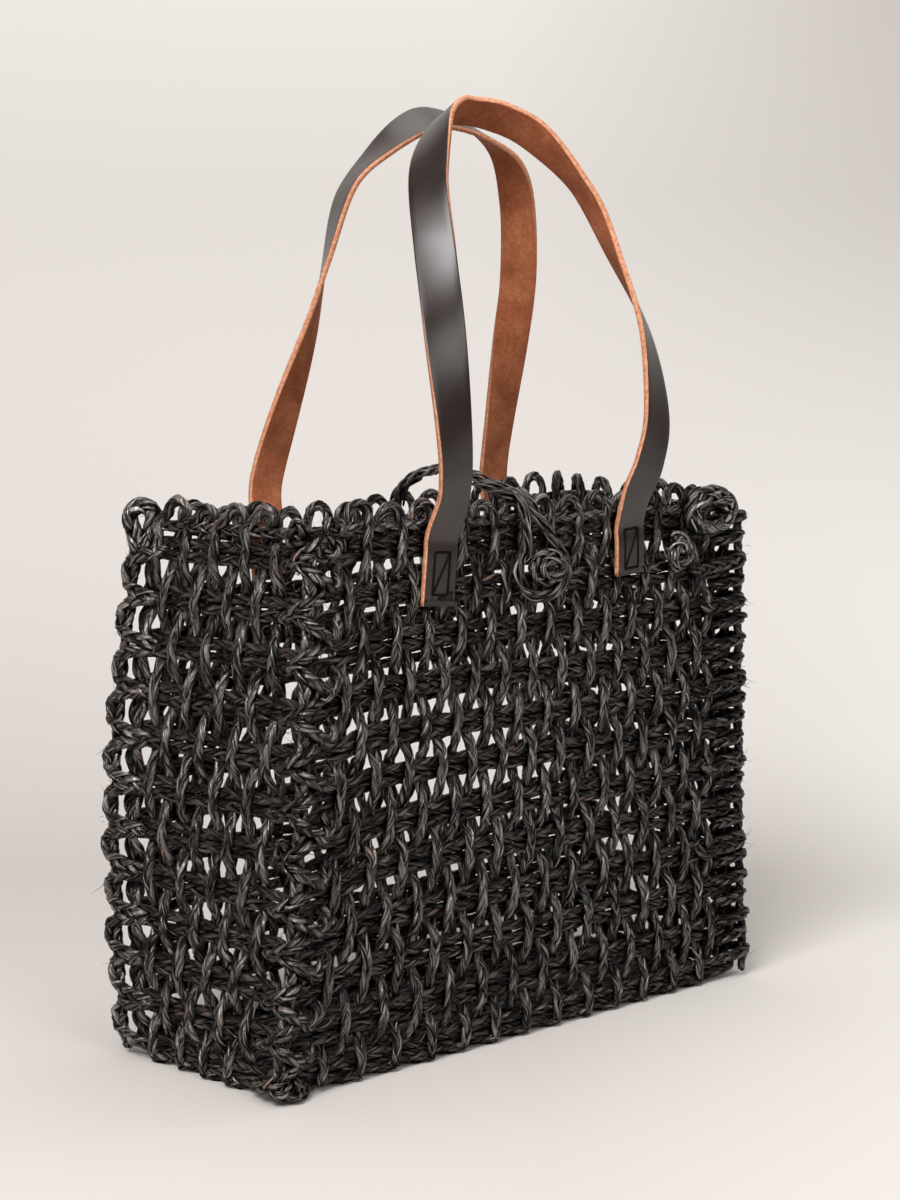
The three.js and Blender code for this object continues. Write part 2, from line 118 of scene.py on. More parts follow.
def grass_material(name, tones, gloss):
    """Grass with fibres in the given tones, whose palest have the given specular level."""
    material, shader = new_material(name)
    fibre = add_node(material, "ShaderNodeAttribute", attribute_name="fibre").outputs["Vector"]
    drawn = add_node(material, "ShaderNodeMapping", {"Vector": fibre, "Scale": STREAK_CELLS}).outputs[0]
    strands = add_node(material, "ShaderNodeTexNoise", {"Vector": drawn, "Scale": 1.0, "Detail": 3.0,
                                                       "Roughness": 0.7}).outputs["Fac"]
    drawn = add_node(material, "ShaderNodeMapping", {"Vector": fibre, "Scale": PATCH_CELLS}).outputs[0]
    patches = add_node(material, "ShaderNodeTexNoise", {"Vector": drawn, "Scale": 1.0, "Detail": 1.0})
    lift = add_node(material, "ShaderNodeMapRange", {"Value": patches.outputs["Fac"], 1: 0.35, 2: 0.65,
                                                    3: -0.08, 4: 0.08}).outputs[0]
    streak = add_node(material, "ShaderNodeMath", {0: strands, 1: lift}, operation="ADD").outputs[0]
    grey = add_node(material, "ShaderNodeValToRGB", {"Fac": streak}, tones)
    brown = add_node(material, "ShaderNodeValToRGB", {"Fac": streak}, BROWN_FIBRES)
    drawn = add_node(material, "ShaderNodeMapping", {"Vector": fibre, "Scale": BROWN_CELLS,
                                                    "Location": BROWN_START}).outputs[0]
    tint = add_node(material, "ShaderNodeTexNoise", {"Vector": drawn, "Scale": 1.0, "Detail": 1.0})
    share = add_node(material, "ShaderNodeMapRange", {"Value": tint.outputs["Fac"], 1: 0.52, 2: 0.62})
    colour = add_node(material, "ShaderNodeMix", {0: share.outputs[0], 6: grey.outputs["Color"],
                                                 7: brown.outputs["Color"]}, data_type="RGBA")
    # Painted shade: ambient occlusion darkens the crevices between the cords to a near-black tone
    crevice = add_node(material, "ShaderNodeAmbientOcclusion", {"Distance": CREVICE_REACH}, samples=4)
    open_share = add_node(material, "ShaderNodeMapRange", {"Value": crevice.outputs["AO"], 1: 0.3, 2: 0.92})
    shaded = add_node(material, "ShaderNodeMix", {0: open_share.outputs[0], 6: tone(PAINTED_SHADE_TONE),
                                                 7: colour.outputs[2]}, data_type="RGBA")
    roughness = add_node(material, "ShaderNodeMapRange", {"Value": strands, 1: 0.42, 2: 0.62,
                                                         3: 0.42, 4: 0.22})
    shine = add_node(material, "ShaderNodeMapRange", {"Value": streak, 1: 0.44, 2: 0.62, 3: 0.1, 4: gloss})
    # The painted shade also lowers the specular level in the crevices
    shine = add_node(material, "ShaderNodeMath", {0: shine.outputs[0], 1: open_share.outputs[0]},
                     operation="MULTIPLY")
    relief = add_node(material, "ShaderNodeBump", {"Height": strands, "Strength": 1.0,
                                                  "Distance": FIBRE_RELIEF})
    connect(material, shader, {"Base Color": shaded.outputs[2], "Roughness": roughness.outputs[0],
                               "Specular IOR Level": shine.outputs[0], "Normal": relief.outputs[0]})
    return material


# The plain copy of the grass, for the base mat, the wefts and the lacing of the right corners
grass = grass_material("dyed_plaited_grass", DARK_FIBRES, 1.5)
# A lit copy of the same grass, paler and glossier: painted light on the upright cords, the rim and the lacing
# of the left corners, which stand proud.
painted_lit_grass = grass_material("painted_lit_plaited_grass", PAINTED_LIT_FIBRES, 2.8)
# The palest copy, glossier still: painted highlights on the button, the closure, the coil, the loop and the
# side knot.
painted_glint_grass = grass_material("painted_glint_grass", PAINTED_GLINT_FIBRES, 4.0)

# Outline of one strand, a flat bundle of fibres, for a half width of 1 mm, and its thickness over its width
STRAND_OUTLINE = [(1.0, 0.0), (0.6, 0.44), (-0.15, 0.56), (-0.8, 0.32), (-0.92, -0.18), (-0.3, -0.54),
                  (0.5, -0.46)]
STRAND_FLATNESS = 0.54
# Millimetres between the rings of a strand, and points on the curve between two of its control points
RING_SPACING = 2.15
SPAN_STEPS = 8


def smooth_route(control, spacing=RING_SPACING):
    """Evenly spaced points on a smooth curve through the control points, and the length up to each."""
    p = np.asarray(control, float)
    p = np.vstack([2 * p[0] - p[1], p, 2 * p[-1] - p[-2]])
    t = np.linspace(0, 1, SPAN_STEPS + 1)[:-1, None, None]
    a, b, c, d = p[:-3], p[1:-2], p[2:-1], p[3:]
    spans = 0.5 * (2 * b + (c - a) * t + (2 * a - 5 * b + 4 * c - d) * t**2
                   + (3 * b - a - 3 * c + d) * t**3)
    dense = np.vstack([spans.transpose(1, 0, 2).reshape(-1, p.shape[1]), p[-2]])
    run = np.r_[0, np.cumsum(np.linalg.norm(np.diff(dense[:, :3], axis=0), axis=1))]
    at = np.linspace(0, run[-1], max(int(run[-1] / spacing), 4))
    return np.stack([np.interp(at, run, dense[:, i]) for i in range(dense.shape[1])], 1), at


def wander(dice, along, every, amount):
    """A smooth random walk along a cord, with a new random value after every so many millimetres."""
    knots = dice.uniform(-amount, amount, int(along[-1] / every) + 3)
    at = along / every
    low = at.astype(int)
    mix = (1 - np.cos(np.pi * (at - low))) / 2
    return knots[low] * (1 - mix) + knots[low + 1] * mix


def unit(vectors):
    return vectors / np.maximum(np.linalg.norm(vectors, axis=-1, keepdims=True), 1e-9)


def curve_mesh(curve):
    """The mesh of a curve."""
    route = bpy.data.objects.new("route", curve)
    bpy.context.scene.collection.objects.link(route)
    mesh = bpy.data.meshes.new_from_object(route.evaluated_get(bpy.context.evaluated_depsgraph_get()))
    bpy.data.objects.remove(route)
    mesh.materials.clear()
    return mesh


def new_piece(name, mesh):
    """A finished mesh as an object at the origin."""
    piece = bpy.data.objects.new(name, mesh)
    bpy.context.scene.collection.objects.link(piece)
    return piece


def swept(name, splines, tilts):
    """The strand outline swept along each spline, turned by its tilts, as one mesh."""
    outline = bpy.data.curves.new(name + "_outline", "CURVE")
    ring = outline.splines.new("POLY")
    ring.points.add(len(STRAND_OUTLINE) - 1)
    for point, (x, y) in zip(ring.points, STRAND_OUTLINE):
        point.co = (x * MM, y * MM, 0, 1)
    ring.use_cyclic_u = True
    outline_object = bpy.data.objects.new(name + "_outline", outline)
    curve = bpy.data.curves.new(name + "_route", "CURVE")
    curve.dimensions = "3D"
    curve.bevel_mode = "OBJECT"
    curve.bevel_object = outline_object
    for (points, radii, _flat), tilt in zip(splines, tilts):
        spline = curve.splines.new("POLY")
        spline.points.add(len(points) - 1)
        spline.points.foreach_set("co", np.c_[points * MM, np.ones(len(points))].ravel().astype(np.float32))
        spline.points.foreach_set("radius", radii.astype(np.float32))
        spline.points.foreach_set("tilt", tilt.astype(np.float32))
    mesh = curve_mesh(curve)
    bpy.data.objects.remove(outline_object)
    return mesh


# Metres between the places where one strand's fibre pattern and the next one's start
PATTERN_SHIFT = 3.7


def grass_piece(name, splines, body="bag", material=grass):
    """Sweeps strands, each (points, half widths, flat side) in millimetres; a blended one has no body."""
    trial = swept(name, splines, [np.zeros(len(points)) for points, _radii, _flat in splines])
    corners = np.empty(len(trial.vertices) * 3, np.float32)
    trial.vertices.foreach_get("co", corners)
    first = corners.reshape(-1, len(STRAND_OUTLINE), 3)[:, 0] / MM
    bpy.data.meshes.remove(trial)
    tilts, fibres, start = [], [], 0
    angle = np.array([math.atan2(y, x) for x, y in STRAND_OUTLINE])
    for number, (points, _radii, flat) in enumerate(splines):
        spoke = first[start:start + len(points)] - points
        start += len(points)
        tangent = unit(np.gradient(points, axis=0))
        width = np.cross(tangent, flat)
        tilts.append(np.arctan2((np.cross(spoke, width) * tangent).sum(1), (spoke * width).sum(1)))
        steps = np.linalg.norm(np.diff(points, axis=0), axis=1)
        run = np.r_[0, np.cumsum(steps)] * MM + PATTERN_SHIFT * number
        ring = np.broadcast_arrays(run[:, None], np.cos(angle), np.sin(angle))
        fibres.append(np.stack(ring, -1).reshape(-1, 3))
    mesh = swept(name, splines, tilts)
    mesh.attributes.new("fibre", "FLOAT_VECTOR", "POINT").data.foreach_set(
        "vector", np.vstack(fibres).ravel().astype(np.float32))
    shell = bmesh.new()
    shell.from_mesh(mesh)
    bmesh.ops.holes_fill(shell, edges=[e for e in shell.edges if e.is_boundary], sides=0)
    bmesh.ops.recalc_face_normals(shell, faces=shell.faces)
    shell.to_mesh(mesh)
    shell.free()
    mesh.shade_smooth()
    mesh.materials.append(material)
    mesh.name = name
    piece = new_piece(name, mesh)
    if body:
        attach(piece, body)
    return piece


def smoothstep(value, low, high):
    """0 up to the low value and 1 from the high one, with a smooth rise between."""
    share = np.clip((np.asarray(value, float) - low) / (high - low), 0, 1)
    return share * share * (3 - 2 * share)


RIM_Z = 321.4
# How far the soft walls have settled (negative) or ridden up (positive), in millimetres: the left one, then
# the back one's rim by its x, and the front one by its height and by how much of that shows at its x
LEFT_SAG, LEFT_RIM_SAG = -7.5, -2
BACK_RIM_RISE = ([-190, -120, -60, 0, 60, 120, 190], [-4, -12, -13, -10, -5, 0, 4])
FRONT_RISE = ([0, 35, 60, 110, 170, 230, 330], [0, 0, 2, 4, 4, 2, 0])
FRONT_RISE_SHARE = ([-190, -60, 60, 190], [1, 1, 0.3, 0])
# How far the foot of the left and front walls bulges outward, and up to what height
BULGE, BULGE_HEIGHT = 5, 110


def settle(points):
    """Moves points of the weave with the sag of the wall that they lie on, and bulges its foot outward."""
    x, y, z = points.T
    share = z / RIM_Z
    left = smoothstep(-x, 130, 190)
    back = smoothstep(y, 20, 60) * (1 - left)
    front = smoothstep(-y, 20, 60) * (1 - left)
    move = left * (LEFT_SAG * np.sin(np.pi * np.clip(share, 0, 1)) + LEFT_RIM_SAG * share)
    move += back * share * np.interp(x, *BACK_RIM_RISE)
    move += front * np.interp(z, *FRONT_RISE) * np.interp(x, *FRONT_RISE_SHARE)
    foot = BULGE * (1 - smoothstep(z, 0, BULGE_HEIGHT))
    to_left, to_front = foot * smoothstep(-x, 150, 190), foot * smoothstep(-y, 30, 60) * 0.6
    return points + np.stack([-to_left, -to_front, move], 1)


# A strand's half width as a share of the width of its cord, by the number of strands
STRAND_SHARE = {2: 0.28, 3: 0.27}
# The middle of a strand stays this far above the floor
LOWEST_MIDDLE = 2.8


def cord(control, wide, thick, lay, seed, facing=None, strands=3, slack=0.35, settles=True):
    """A cord plaited from three strands or twisted from two, a turn in each lay: what grass_piece sweeps."""
    dice = np.random.default_rng(seed)
    route, along = smooth_route(control)
    centre = settle(route[:, :3]) if settles else route[:, :3]
    tangent = unit(np.gradient(centre, axis=0))
    face = np.broadcast_to(facing, tangent.shape) if route.shape[1] == 3 else route[:, 3:]
    out = unit(face - tangent * (face * tangent).sum(1, keepdims=True))
    side = np.cross(tangent, out)
    spin = math.tau * along / lay + wander(dice, along, 40, 0.5)
    drift_side, drift_out = wander(dice, along, 30, slack), wander(dice, along, 30, slack * 0.6)
    half_width = wide * STRAND_SHARE[strands]
    reach_side, reach_out = wide / 2 - half_width, thick / 2 - half_width * STRAND_FLATNESS
    made = []
    for k in range(strands):
        phase = spin + k * math.tau / strands
        if strands == 3:
            across, through = np.sin(phase), np.sin(2 * phase)
            roll = np.pi / 2 * (1 - np.cos(phase))
        else:
            across, through = np.cos(phase), np.sin(phase)
            roll = np.pi / 2 - phase
        across = reach_side * (1 + wander(dice, along, 9, 0.18)) * across + wander(dice, along, 12, slack / 2)
        through = (reach_out * (1 + wander(dice, along, 9, 0.18)) * through
                   + wander(dice, along, 12, slack / 2))
        points = centre + side * (across + drift_side)[:, None] + out * (through + drift_out)[:, None]
        points[:, 2] = np.maximum(points[:, 2], LOWEST_MIDDLE)
        radii = half_width * (1 + wander(dice, along, 7, 0.16))
        radii[[0, -1]] *= 0.5
        roll = roll + wander(dice, along, 11, 0.35)
        made.append((points, radii, out * np.cos(roll)[:, None] + side * np.sin(roll)[:, None]))
    return made


BASE_HALF = (193.0, 62.0)
# Rows, points along each, how far the outer rows stay in, and the height of the middles and their waves
MAT_ROWS, MAT_STEPS, MAT_EDGE, MAT_MIDDLE, MAT_WAVE = 15, 30, 4.4, 4.6, 0.54
UPWARD = np.array([0, 0, 1.0])
mat_cords = []
for row in range(MAT_ROWS):
    y = -BASE_HALF[1] + MAT_EDGE + row * (2 * BASE_HALF[1] - 2 * MAT_EDGE) / (MAT_ROWS - 1)
    xs = np.linspace(-BASE_HALF[0] + 1, BASE_HALF[0] - 1, MAT_STEPS)
    wave = MAT_WAVE * np.cos(np.pi * (np.arange(MAT_STEPS) + row))
    control = np.stack([xs, np.full(MAT_STEPS, y), MAT_MIDDLE + wave], 1)
    mat_cords += cord(control, 10.0, 5.2, 34, 60 + row, UPWARD)
base_mat = grass_piece("base_mat", mat_cords)
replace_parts(base_mat, "base")

# ---- Walls ----
# Each wall is two unbroken cords in plain weave: a weft cord that runs twice in each course, and a warp
# cord whose upright legs pass outside and inside the courses and turn over the rim in arches.
BASE_LENGTH, BASE_DEPTH = 408, 140
RIM_LENGTH, RIM_DEPTH = 373, 158
WALL_HALF = 5.2
# Each corner's side of the bag along x and y, and how far its edge bows out halfway up
CORNER_SIGNS = {"front_left": (-1, -1), "front_right": (1, -1), "back_right": (1, 1), "back_left": (-1, 1)}
CORNER_BOW = {"front_left": (1, 4), "front_right": (0, 0), "back_right": (0, 0), "back_left": (9, 12)}
COURSES = 12
FIRST_COURSE_Z, TOP_COURSE_Z = 11.0, 305.2
COURSE_PITCH = (TOP_COURSE_Z - FIRST_COURSE_Z) / (COURSES - 1)
# Half the distance between a course's two cords, and how far each crossing bends the warp and the weft
PAIR_HALF = 3.55
WARP_SWING = 2.3
WEFT_BEND = 0.7
# Where the weft turns, and the outer warp legs stand, from the corner's edge
SELVEDGE = 7
LEG_MARGIN = 26.8
LEG_SPACING_LEFT = 13.4
# How unevenly the courses were beaten: the height of a course, its lean, and each crossing; then the same
# for the warp: a whole leg's place along the wall, and each crossing's
COURSE_DRIFT, COURSE_LEAN, CROSSING_DRIFT = 0.8, 1.2, 0.3
LEG_SWAY, LEG_LEAN = 0.9, 1.0
WEFT_SIZE, WARP_THICKNESS = (8.5, 3.8), 3.9
WARP_WIDTH, GUSSET_WARP_WIDTH = 8.6, 9.3


def corner_axis(corner, z):
    """The middle of a corner's edge at a height."""
    share = z / RIM_Z
    bow = math.sin(math.pi * min(share, 1))
    half_x = (BASE_LENGTH + (RIM_LENGTH - BASE_LENGTH) * share) / 2 - WALL_HALF
    half_y = (BASE_DEPTH + (RIM_DEPTH - BASE_DEPTH) * share) / 2 - WALL_HALF
    (sign_x, sign_y), (bow_x, bow_y) = CORNER_SIGNS[corner], CORNER_BOW[corner]
    return np.array([sign_x * (half_x + bow * bow_x), sign_y * (half_y + bow * bow_y), z])


def on_wall(wall, insets, share, z, out):
    """A point on a wall: insets from its corners, share of the way along, height, distance outward."""
    start, end = (corner_axis(corner, z) for corner in wall)
    along = end - start
    length = np.linalg.norm(along)
    along = along / length
    outward = np.array([along[1], -along[0], 0])
    run = insets[0] + share * (length - insets[0] - insets[1])
    return np.r_[start + along * run + outward * out, outward]


def weft_cord(wall, insets, legs, seed, lay):
    """Runs along each course above its middle and back below it, then steps down to the next one."""
    dice = np.random.default_rng(seed)
    control = []
    step_down = ((3.0, 5.5), (-1.0, 10), (-2.0, COURSE_PITCH / 2), (-1.0, COURSE_PITCH - 10),
                 (3.0, COURSE_PITCH - 5.5))
    for course in range(COURSES - 1, -1, -1):
        z = FIRST_COURSE_Z + course * COURSE_PITCH + dice.uniform(-COURSE_DRIFT, COURSE_DRIFT)
        crossings = [(leg / (legs - 1), WEFT_BEND * (-1) ** (leg + course + 1)) for leg in range(legs)]
        lean = dice.uniform(-COURSE_LEAN, COURSE_LEAN)
        for share, bend in crossings:
            rise = PAIR_HALF + lean * (share - 0.5) + dice.uniform(-CROSSING_DRIFT, CROSSING_DRIFT)
            control.append(on_wall(wall, insets, share, z + rise, bend))
        for angle in (60, 0, -60):
            turn = math.radians(angle)
            control.append(on_wall(wall, (0, SELVEDGE + PAIR_HALF * (1 - math.cos(turn))), 1,
                                   z + PAIR_HALF * math.sin(turn), 1.0))
        for share, bend in reversed(crossings):
            rise = -PAIR_HALF + lean * (share - 0.5) + dice.uniform(-CROSSING_DRIFT, CROSSING_DRIFT)
            control.append(on_wall(wall, insets, share, z + rise, bend))
        if course:
            for inset, drop in step_down:
                control.append(on_wall(wall, (SELVEDGE + inset, 0), 0, z - drop, -1.0))
    return cord(control, *WEFT_SIZE, lay, seed)


# The turns at the ends of a leg: share of the way to the next leg, rise, and share of the swing outward
HIGH_TURN = [(-0.08, 13, 0.95), (-0.02, 19, 0.6), (0.22, 23.4, 0.35), (0.5, 24.8, 0), (0.78, 23.4, -0.35),
             (1.02, 19, -0.6), (1.08, 13, -0.95)]
LOW_TURN = [(0.12, -6.2, 0.9), (0.5, -8.2, 0), (0.88, -6.2, -0.9)]
# A point of the high turn above this rise is on its arch, which varies in height and may lean
ARCH_FROM = 18
# How far over and under the middle of a course a leg leaves it, and how much it slants across it
CROSSING_REACH, CROSSING_SLANT = 7, 0.05


def warp_cord(wall, insets, legs, seed, lay, first, arch_lean, arch_rise):
    """Upright legs that pass each course by turns, joined over the rim and under the lowest course."""
    dice = np.random.default_rng(seed)
    control = []
    for leg in range(legs):
        rising = leg % 2 == 0
        sway = dice.uniform(-LEG_SWAY, LEG_SWAY)
        for course in range(COURSES) if rising else range(COURSES - 1, -1, -1):
            swing = WARP_SWING * (-1) ** (leg + course + first)
            z = FIRST_COURSE_Z + course * COURSE_PITCH
            lean = dice.uniform(-LEG_LEAN, LEG_LEAN)
            for step in (-CROSSING_REACH, CROSSING_REACH) if rising else (CROSSING_REACH, -CROSSING_REACH):
                spot = on_wall(wall, insets, leg / (legs - 1), z + step, swing)
                spot[:2] += (sway + lean + CROSSING_SLANT * step) * np.array([-spot[4], spot[3]])
                control.append(spot)
        if leg == legs - 1:
            break
        end_z = TOP_COURSE_Z if rising else FIRST_COURSE_Z
        end_swing = WARP_SWING * (-1) ** (leg + first + (COURSES - 1 if rising else 0))
        lift = arch_rise + dice.uniform(-2.0, 2.5)
        for share, rise, out in HIGH_TURN if rising else LOW_TURN:
            if rise > ARCH_FROM:
                rise, share = rise + lift, share + arch_lean
            control.append(on_wall(wall, insets, (leg + share) / (legs - 1), end_z + rise, end_swing * out))
    width = GUSSET_WARP_WIDTH if wall in (WALLS["left"][0], WALLS["right"][0]) else WARP_WIDTH
    return cord(control, width, WARP_THICKNESS, lay, seed)


# Corners, warp legs, insets of the outer legs from the two corners, way of plaiting, whether the first leg
# starts inside (0) or outside (1), how far the arches lean along the wall, in legs, and stand up more
WALLS = {
    "front": (("front_left", "front_right"), 26, (LEG_MARGIN, LEG_MARGIN), 1, 0, 0.0, 0),
    "right": (("front_right", "back_right"), 8, (LEG_MARGIN, LEG_MARGIN), -1, 0, 0.0, 0),
    "back": (("back_right", "back_left"), 26, (LEG_MARGIN, LEG_MARGIN), 1, 0, 0.0, 3.5),
    "left": (("back_left", "front_left"), 9, (LEG_MARGIN - LEG_SPACING_LEFT, LEG_MARGIN), -1, 1, 0.5, 0),
}
woven = []
for number, (name, (wall, legs, insets, hand, first, arch_lean, arch_rise)) in enumerate(WALLS.items()):
    weft = weft_cord(wall, insets, legs, 100 + number, 45 * hand)
    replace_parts(grass_piece(name + "_weft", weft), name + "_weft_cord")
    warp = warp_cord(wall, insets, legs, 200 + number, 43 * hand, first, arch_lean, arch_rise)
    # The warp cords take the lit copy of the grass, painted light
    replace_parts(grass_piece(name + "_warp", warp, material=painted_lit_grass), name + "_warp_cord")
    woven += weft + warp

# ---- Rim ----
# A cord lies on top of the last course all round the mouth, under the arches of the warp cords.
RIM_CORD_RISE, RIM_INSETS, RIM_WAVE = 12.4, (9, 9), 0.8
rim_control = []
for name in ("left", "front", "right", "back"):
    for share in np.linspace(0, 1, 9):
        wave = RIM_WAVE * math.cos(9 * math.pi * share)
        rim_control.append(on_wall(WALLS[name][0], RIM_INSETS, share, TOP_COURSE_Z + RIM_CORD_RISE, wave))
rim = cord(rim_control, 8.4, 6.0, 36, 31)
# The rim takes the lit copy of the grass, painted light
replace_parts(grass_piece("rim", rim, material=painted_lit_grass), "rim_cord")
woven += rim

# ---- Corner lacing ----
# The walls are laced together up each corner. Three corners show the cord wrapped round the edge at every
# course; the near one, where the cords were joined, is a column of knots with frayed ends.
# The outward direction of a corner's long face and of its gusset, before the corner's signs
FACES = ((0, 1), (1, 0))


def near_corner(corner, face, inset, z, out):
    """A point beside a corner, inset along its long face (0) or its gusset (1), or out past its edge (2)."""
    sign = np.array(CORNER_SIGNS[corner], float)
    if face == 2:
        outward = np.r_[sign, 0] / math.sqrt(2)
        return np.r_[corner_axis(corner, z) + outward * out, outward]
    normal = sign * FACES[face]
    inward = -sign * (1 - np.array(FACES[face]))
    return np.r_[corner_axis(corner, z) + np.r_[inward * inset + normal * out, 0], normal, 0]


def edge_cord(corner, seed):
    """A cord that runs straight up a corner's edge, under the others."""
    dice = np.random.default_rng(seed)
    control = [near_corner(corner, 2, 0, z, 4.2 + dice.uniform(-0.7, 0.7))
               for z in np.arange(4, TOP_COURSE_Z + 12, 14)]
    return cord(control, 9.5, 5.6, 34, seed)


# Tails of a wrapped corner's cord: their height, and how far they run along the wall
TAILS = ((279, 44), (252, 30), (199, 38), (145, 30), (90, 36))


def wrapped_corner(corner, seed):
    """Cord wrapped round the corner's edge twice in every course, with a few tails laid along the wall."""
    dice = np.random.default_rng(seed)
    made = edge_cord(corner, seed)
    control = []
    for turn in range(COURSES * 2 - 1, -1, -1):
        z = FIRST_COURSE_Z + (turn - 0.5) * COURSE_PITCH / 2
        if z < 5 or z > TOP_COURSE_Z + 8:
            continue
        z += dice.uniform(-1.2, 1.2)
        bulge = dice.uniform(5.5, 8)
        low = z - 2.5
        control += [near_corner(corner, 1, 15, z - 5, -2), near_corner(corner, 1, 12, z - 1, 3),
                    near_corner(corner, 2, 0, z, bulge), near_corner(corner, 0, 9, low, 4.5),
                    near_corner(corner, 0, 16, low - 1, 2.5), near_corner(corner, 0, 18, low - 4, -2)]
    made += cord(control, 9.0, 5.2, 34, seed + 1)
    for z, length in TAILS:
        control = [near_corner(corner, 1, 10, z + 4, 3), near_corner(corner, 2, 0, z + 3, 7.5)]
        control += [near_corner(corner, 0, inset, z + 1.5 * math.sin(inset / 9), 6.5)
                    for inset in np.linspace(10, length, 5)]
        control.append(near_corner(corner, 0, length + 4, z + 5, -1))
        made += cord(control, 9.0, 5.0, 34, seed + int(z))
    return made


def looped_corner(corner, seed):
    """The cord turns down past the corner's edge from each course to the next, in a round loop."""
    dice = np.random.default_rng(seed)
    made = edge_cord(corner, seed)
    control = []
    for course in range(COURSES - 1, 0, -1):
        z = FIRST_COURSE_Z + (course - 0.5) * COURSE_PITCH + dice.uniform(-1.5, 1.5)
        tall = dice.uniform(9.5, 11.5)
        bulge = dice.uniform(7.5, 9.5)
        control += [near_corner(corner, 1, 22, z + tall + 3, -1.5),
                    near_corner(corner, 1, 15, z + tall + 1, 2.5),
                    near_corner(corner, 1, 6, z + tall, 4.5),
                    near_corner(corner, 2, 0, z + tall * 0.6, bulge * 0.9),
                    near_corner(corner, 2, 0, z, bulge),
                    near_corner(corner, 2, 0, z - tall * 0.6, bulge * 0.85),
                    near_corner(corner, 1, 7, z - tall * 0.95, 4.5),
                    near_corner(corner, 1, 16, z - tall - 1, 2.5),
                    near_corner(corner, 1, 22, z - tall - 3, -1.5)]
    made += cord(control, 10.5, 6.0, 36, seed + 1)
    return made


def knot(centre, outward, size, seed):
    """A tight overhand knot of two-ply cord, turned a random way."""
    dice = np.random.default_rng(seed)
    across = unit(np.cross(outward, [0, 0, 1]))
    upward = np.cross(across, outward)
    roll = dice.uniform(0, math.tau)
    control = []
    for turn in np.linspace(0.2, math.tau - 0.2, 22):
        ring = 2 + math.cos(3 * turn)
        u = ring * math.cos(2 * turn + roll)
        v = 1.15 * ring * math.sin(2 * turn + roll)
        w = 0.9 * math.sin(3 * turn)
        control.append(centre + size * (across * u + upward * v + outward * w))
    return cord(control, 5.6, 4.8, 17, seed, outward, 2)


# The near corner's two cords at each course, and the hook at the lowest one, as (face, inset, rise, out),
# and how much of the course's random slant is added to each rise
OVER = ((1, 21, -4, 0, 0), (1, 13, -5, 4, 0), (1, 5, -2, 6.5, -1), (2, 0, 4, 7.5, 0), (0, 5, 9, 5.5, 1),
        (0, 10, 12, 1, 0), (0, 12, 14, -3, 0))
HOOK = ((1, 9, 2, -2, 0), (1, 5, -2, 5, 0), (2, 0, -6, 8.5, 0), (0, 4, -12, 8, 0), (0, 11, -16, 6.5, 1),
        (0, 17, -14, 5, 0), (0, 19, -9, 2, 0), (0, 18, -5, -2, 0))
LOWEST_HOOK = ((1, 9, 4, -2, 0), (1, 5, 0, 5, 0), (2, 0, -4, 8, 0), (0, 7, -6, 7, 0), (0, 15, -6, 4, 0),
               (0, 20, -4, -2, 0))
LOWEST_RISE = -3
# Loose knots of the near corner: height, inset (below 0 on the gusset) and size
KNOTS = ((312, 5, 2.4), (322, 9, 1.8), (318, -4, 2.2), (9, 3, 2.2), (236, 6, 1.7), (150, -5, 1.7))


def knotted_corner(corner, seed):
    """At every course one cord slants up over the edge and another hangs from it in a hook."""
    dice = np.random.default_rng(seed)
    made = edge_cord(corner, seed) + edge_cord(corner, seed + 1)
    for course in range(COURSES):
        z = FIRST_COURSE_Z + course * COURSE_PITCH + dice.uniform(-1.5, 1.5)
        slant = dice.uniform(-1.5, 1.5)
        over, hook = ([(face, inset, rise + share * slant, out) for face, inset, rise, out, share in route]
                      for route in (OVER, HOOK if course else LOWEST_HOOK))
        if course == 0:
            over = [(face, inset, max(rise, LOWEST_RISE), out) for face, inset, rise, out in over]
        for number, route in enumerate((over, hook)):
            control = []
            for face, inset, rise, out in route:
                inset *= dice.uniform(0.85, 1.15)
                control.append(near_corner(corner, face, inset, z + rise, out + dice.uniform(-0.7, 0.7)))
            made += cord(control, 9.4, 6.0, 36, seed + 10 + course * 2 + number, slack=0.6)
    for z, inset, size in KNOTS:
        spot = near_corner(corner, 0 if inset > 0 else 1, abs(inset), z, 6.5)
        made += knot(spot[:3], unit(spot[3:] + np.r_[CORNER_SIGNS[corner], 0]), size, seed + int(z))
    return made


# One arch over the rim, as (along the wall, drop below its top, out)
HOOP = ((-6.5, 36, 3), (-7, 20, 5), (-6, 8, 3.5), (0, 0, 0), (6, 8, -3.5), (7, 20, -5), (6.5, 36, -3))


def rim_hoops(corner, places, seed):
    """Arches of the lacing cord over the rim beside a corner, each at (face, inset, height)."""
    made = []
    for number, (face, inset, top) in enumerate(places):
        control = [near_corner(corner, face, inset + step, top - drop, out) for step, drop, out in HOOP]
        made += cord(control, 8.8, 4.4, 43, seed + number)
    return made


BACK_HOOPS = ((0, 9, 332), (1, 11, 329))
LACING = {
    "front_left": knotted_corner("front_left", 300),
    "front_right": wrapped_corner("front_right", 420),
    "back_right": wrapped_corner("back_right", 840) + rim_hoops("back_right", BACK_HOOPS, 880),
    "back_left": looped_corner("back_left", 460),
}
for corner, lacing in LACING.items():
    # The left corners' lacing takes the lit copy of the grass, painted light
    material = painted_lit_grass if corner.endswith("left") else grass
    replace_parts(grass_piece(corner + "_lacing_cord", lacing, material=material), corner + "_lacing")
    woven += lacing

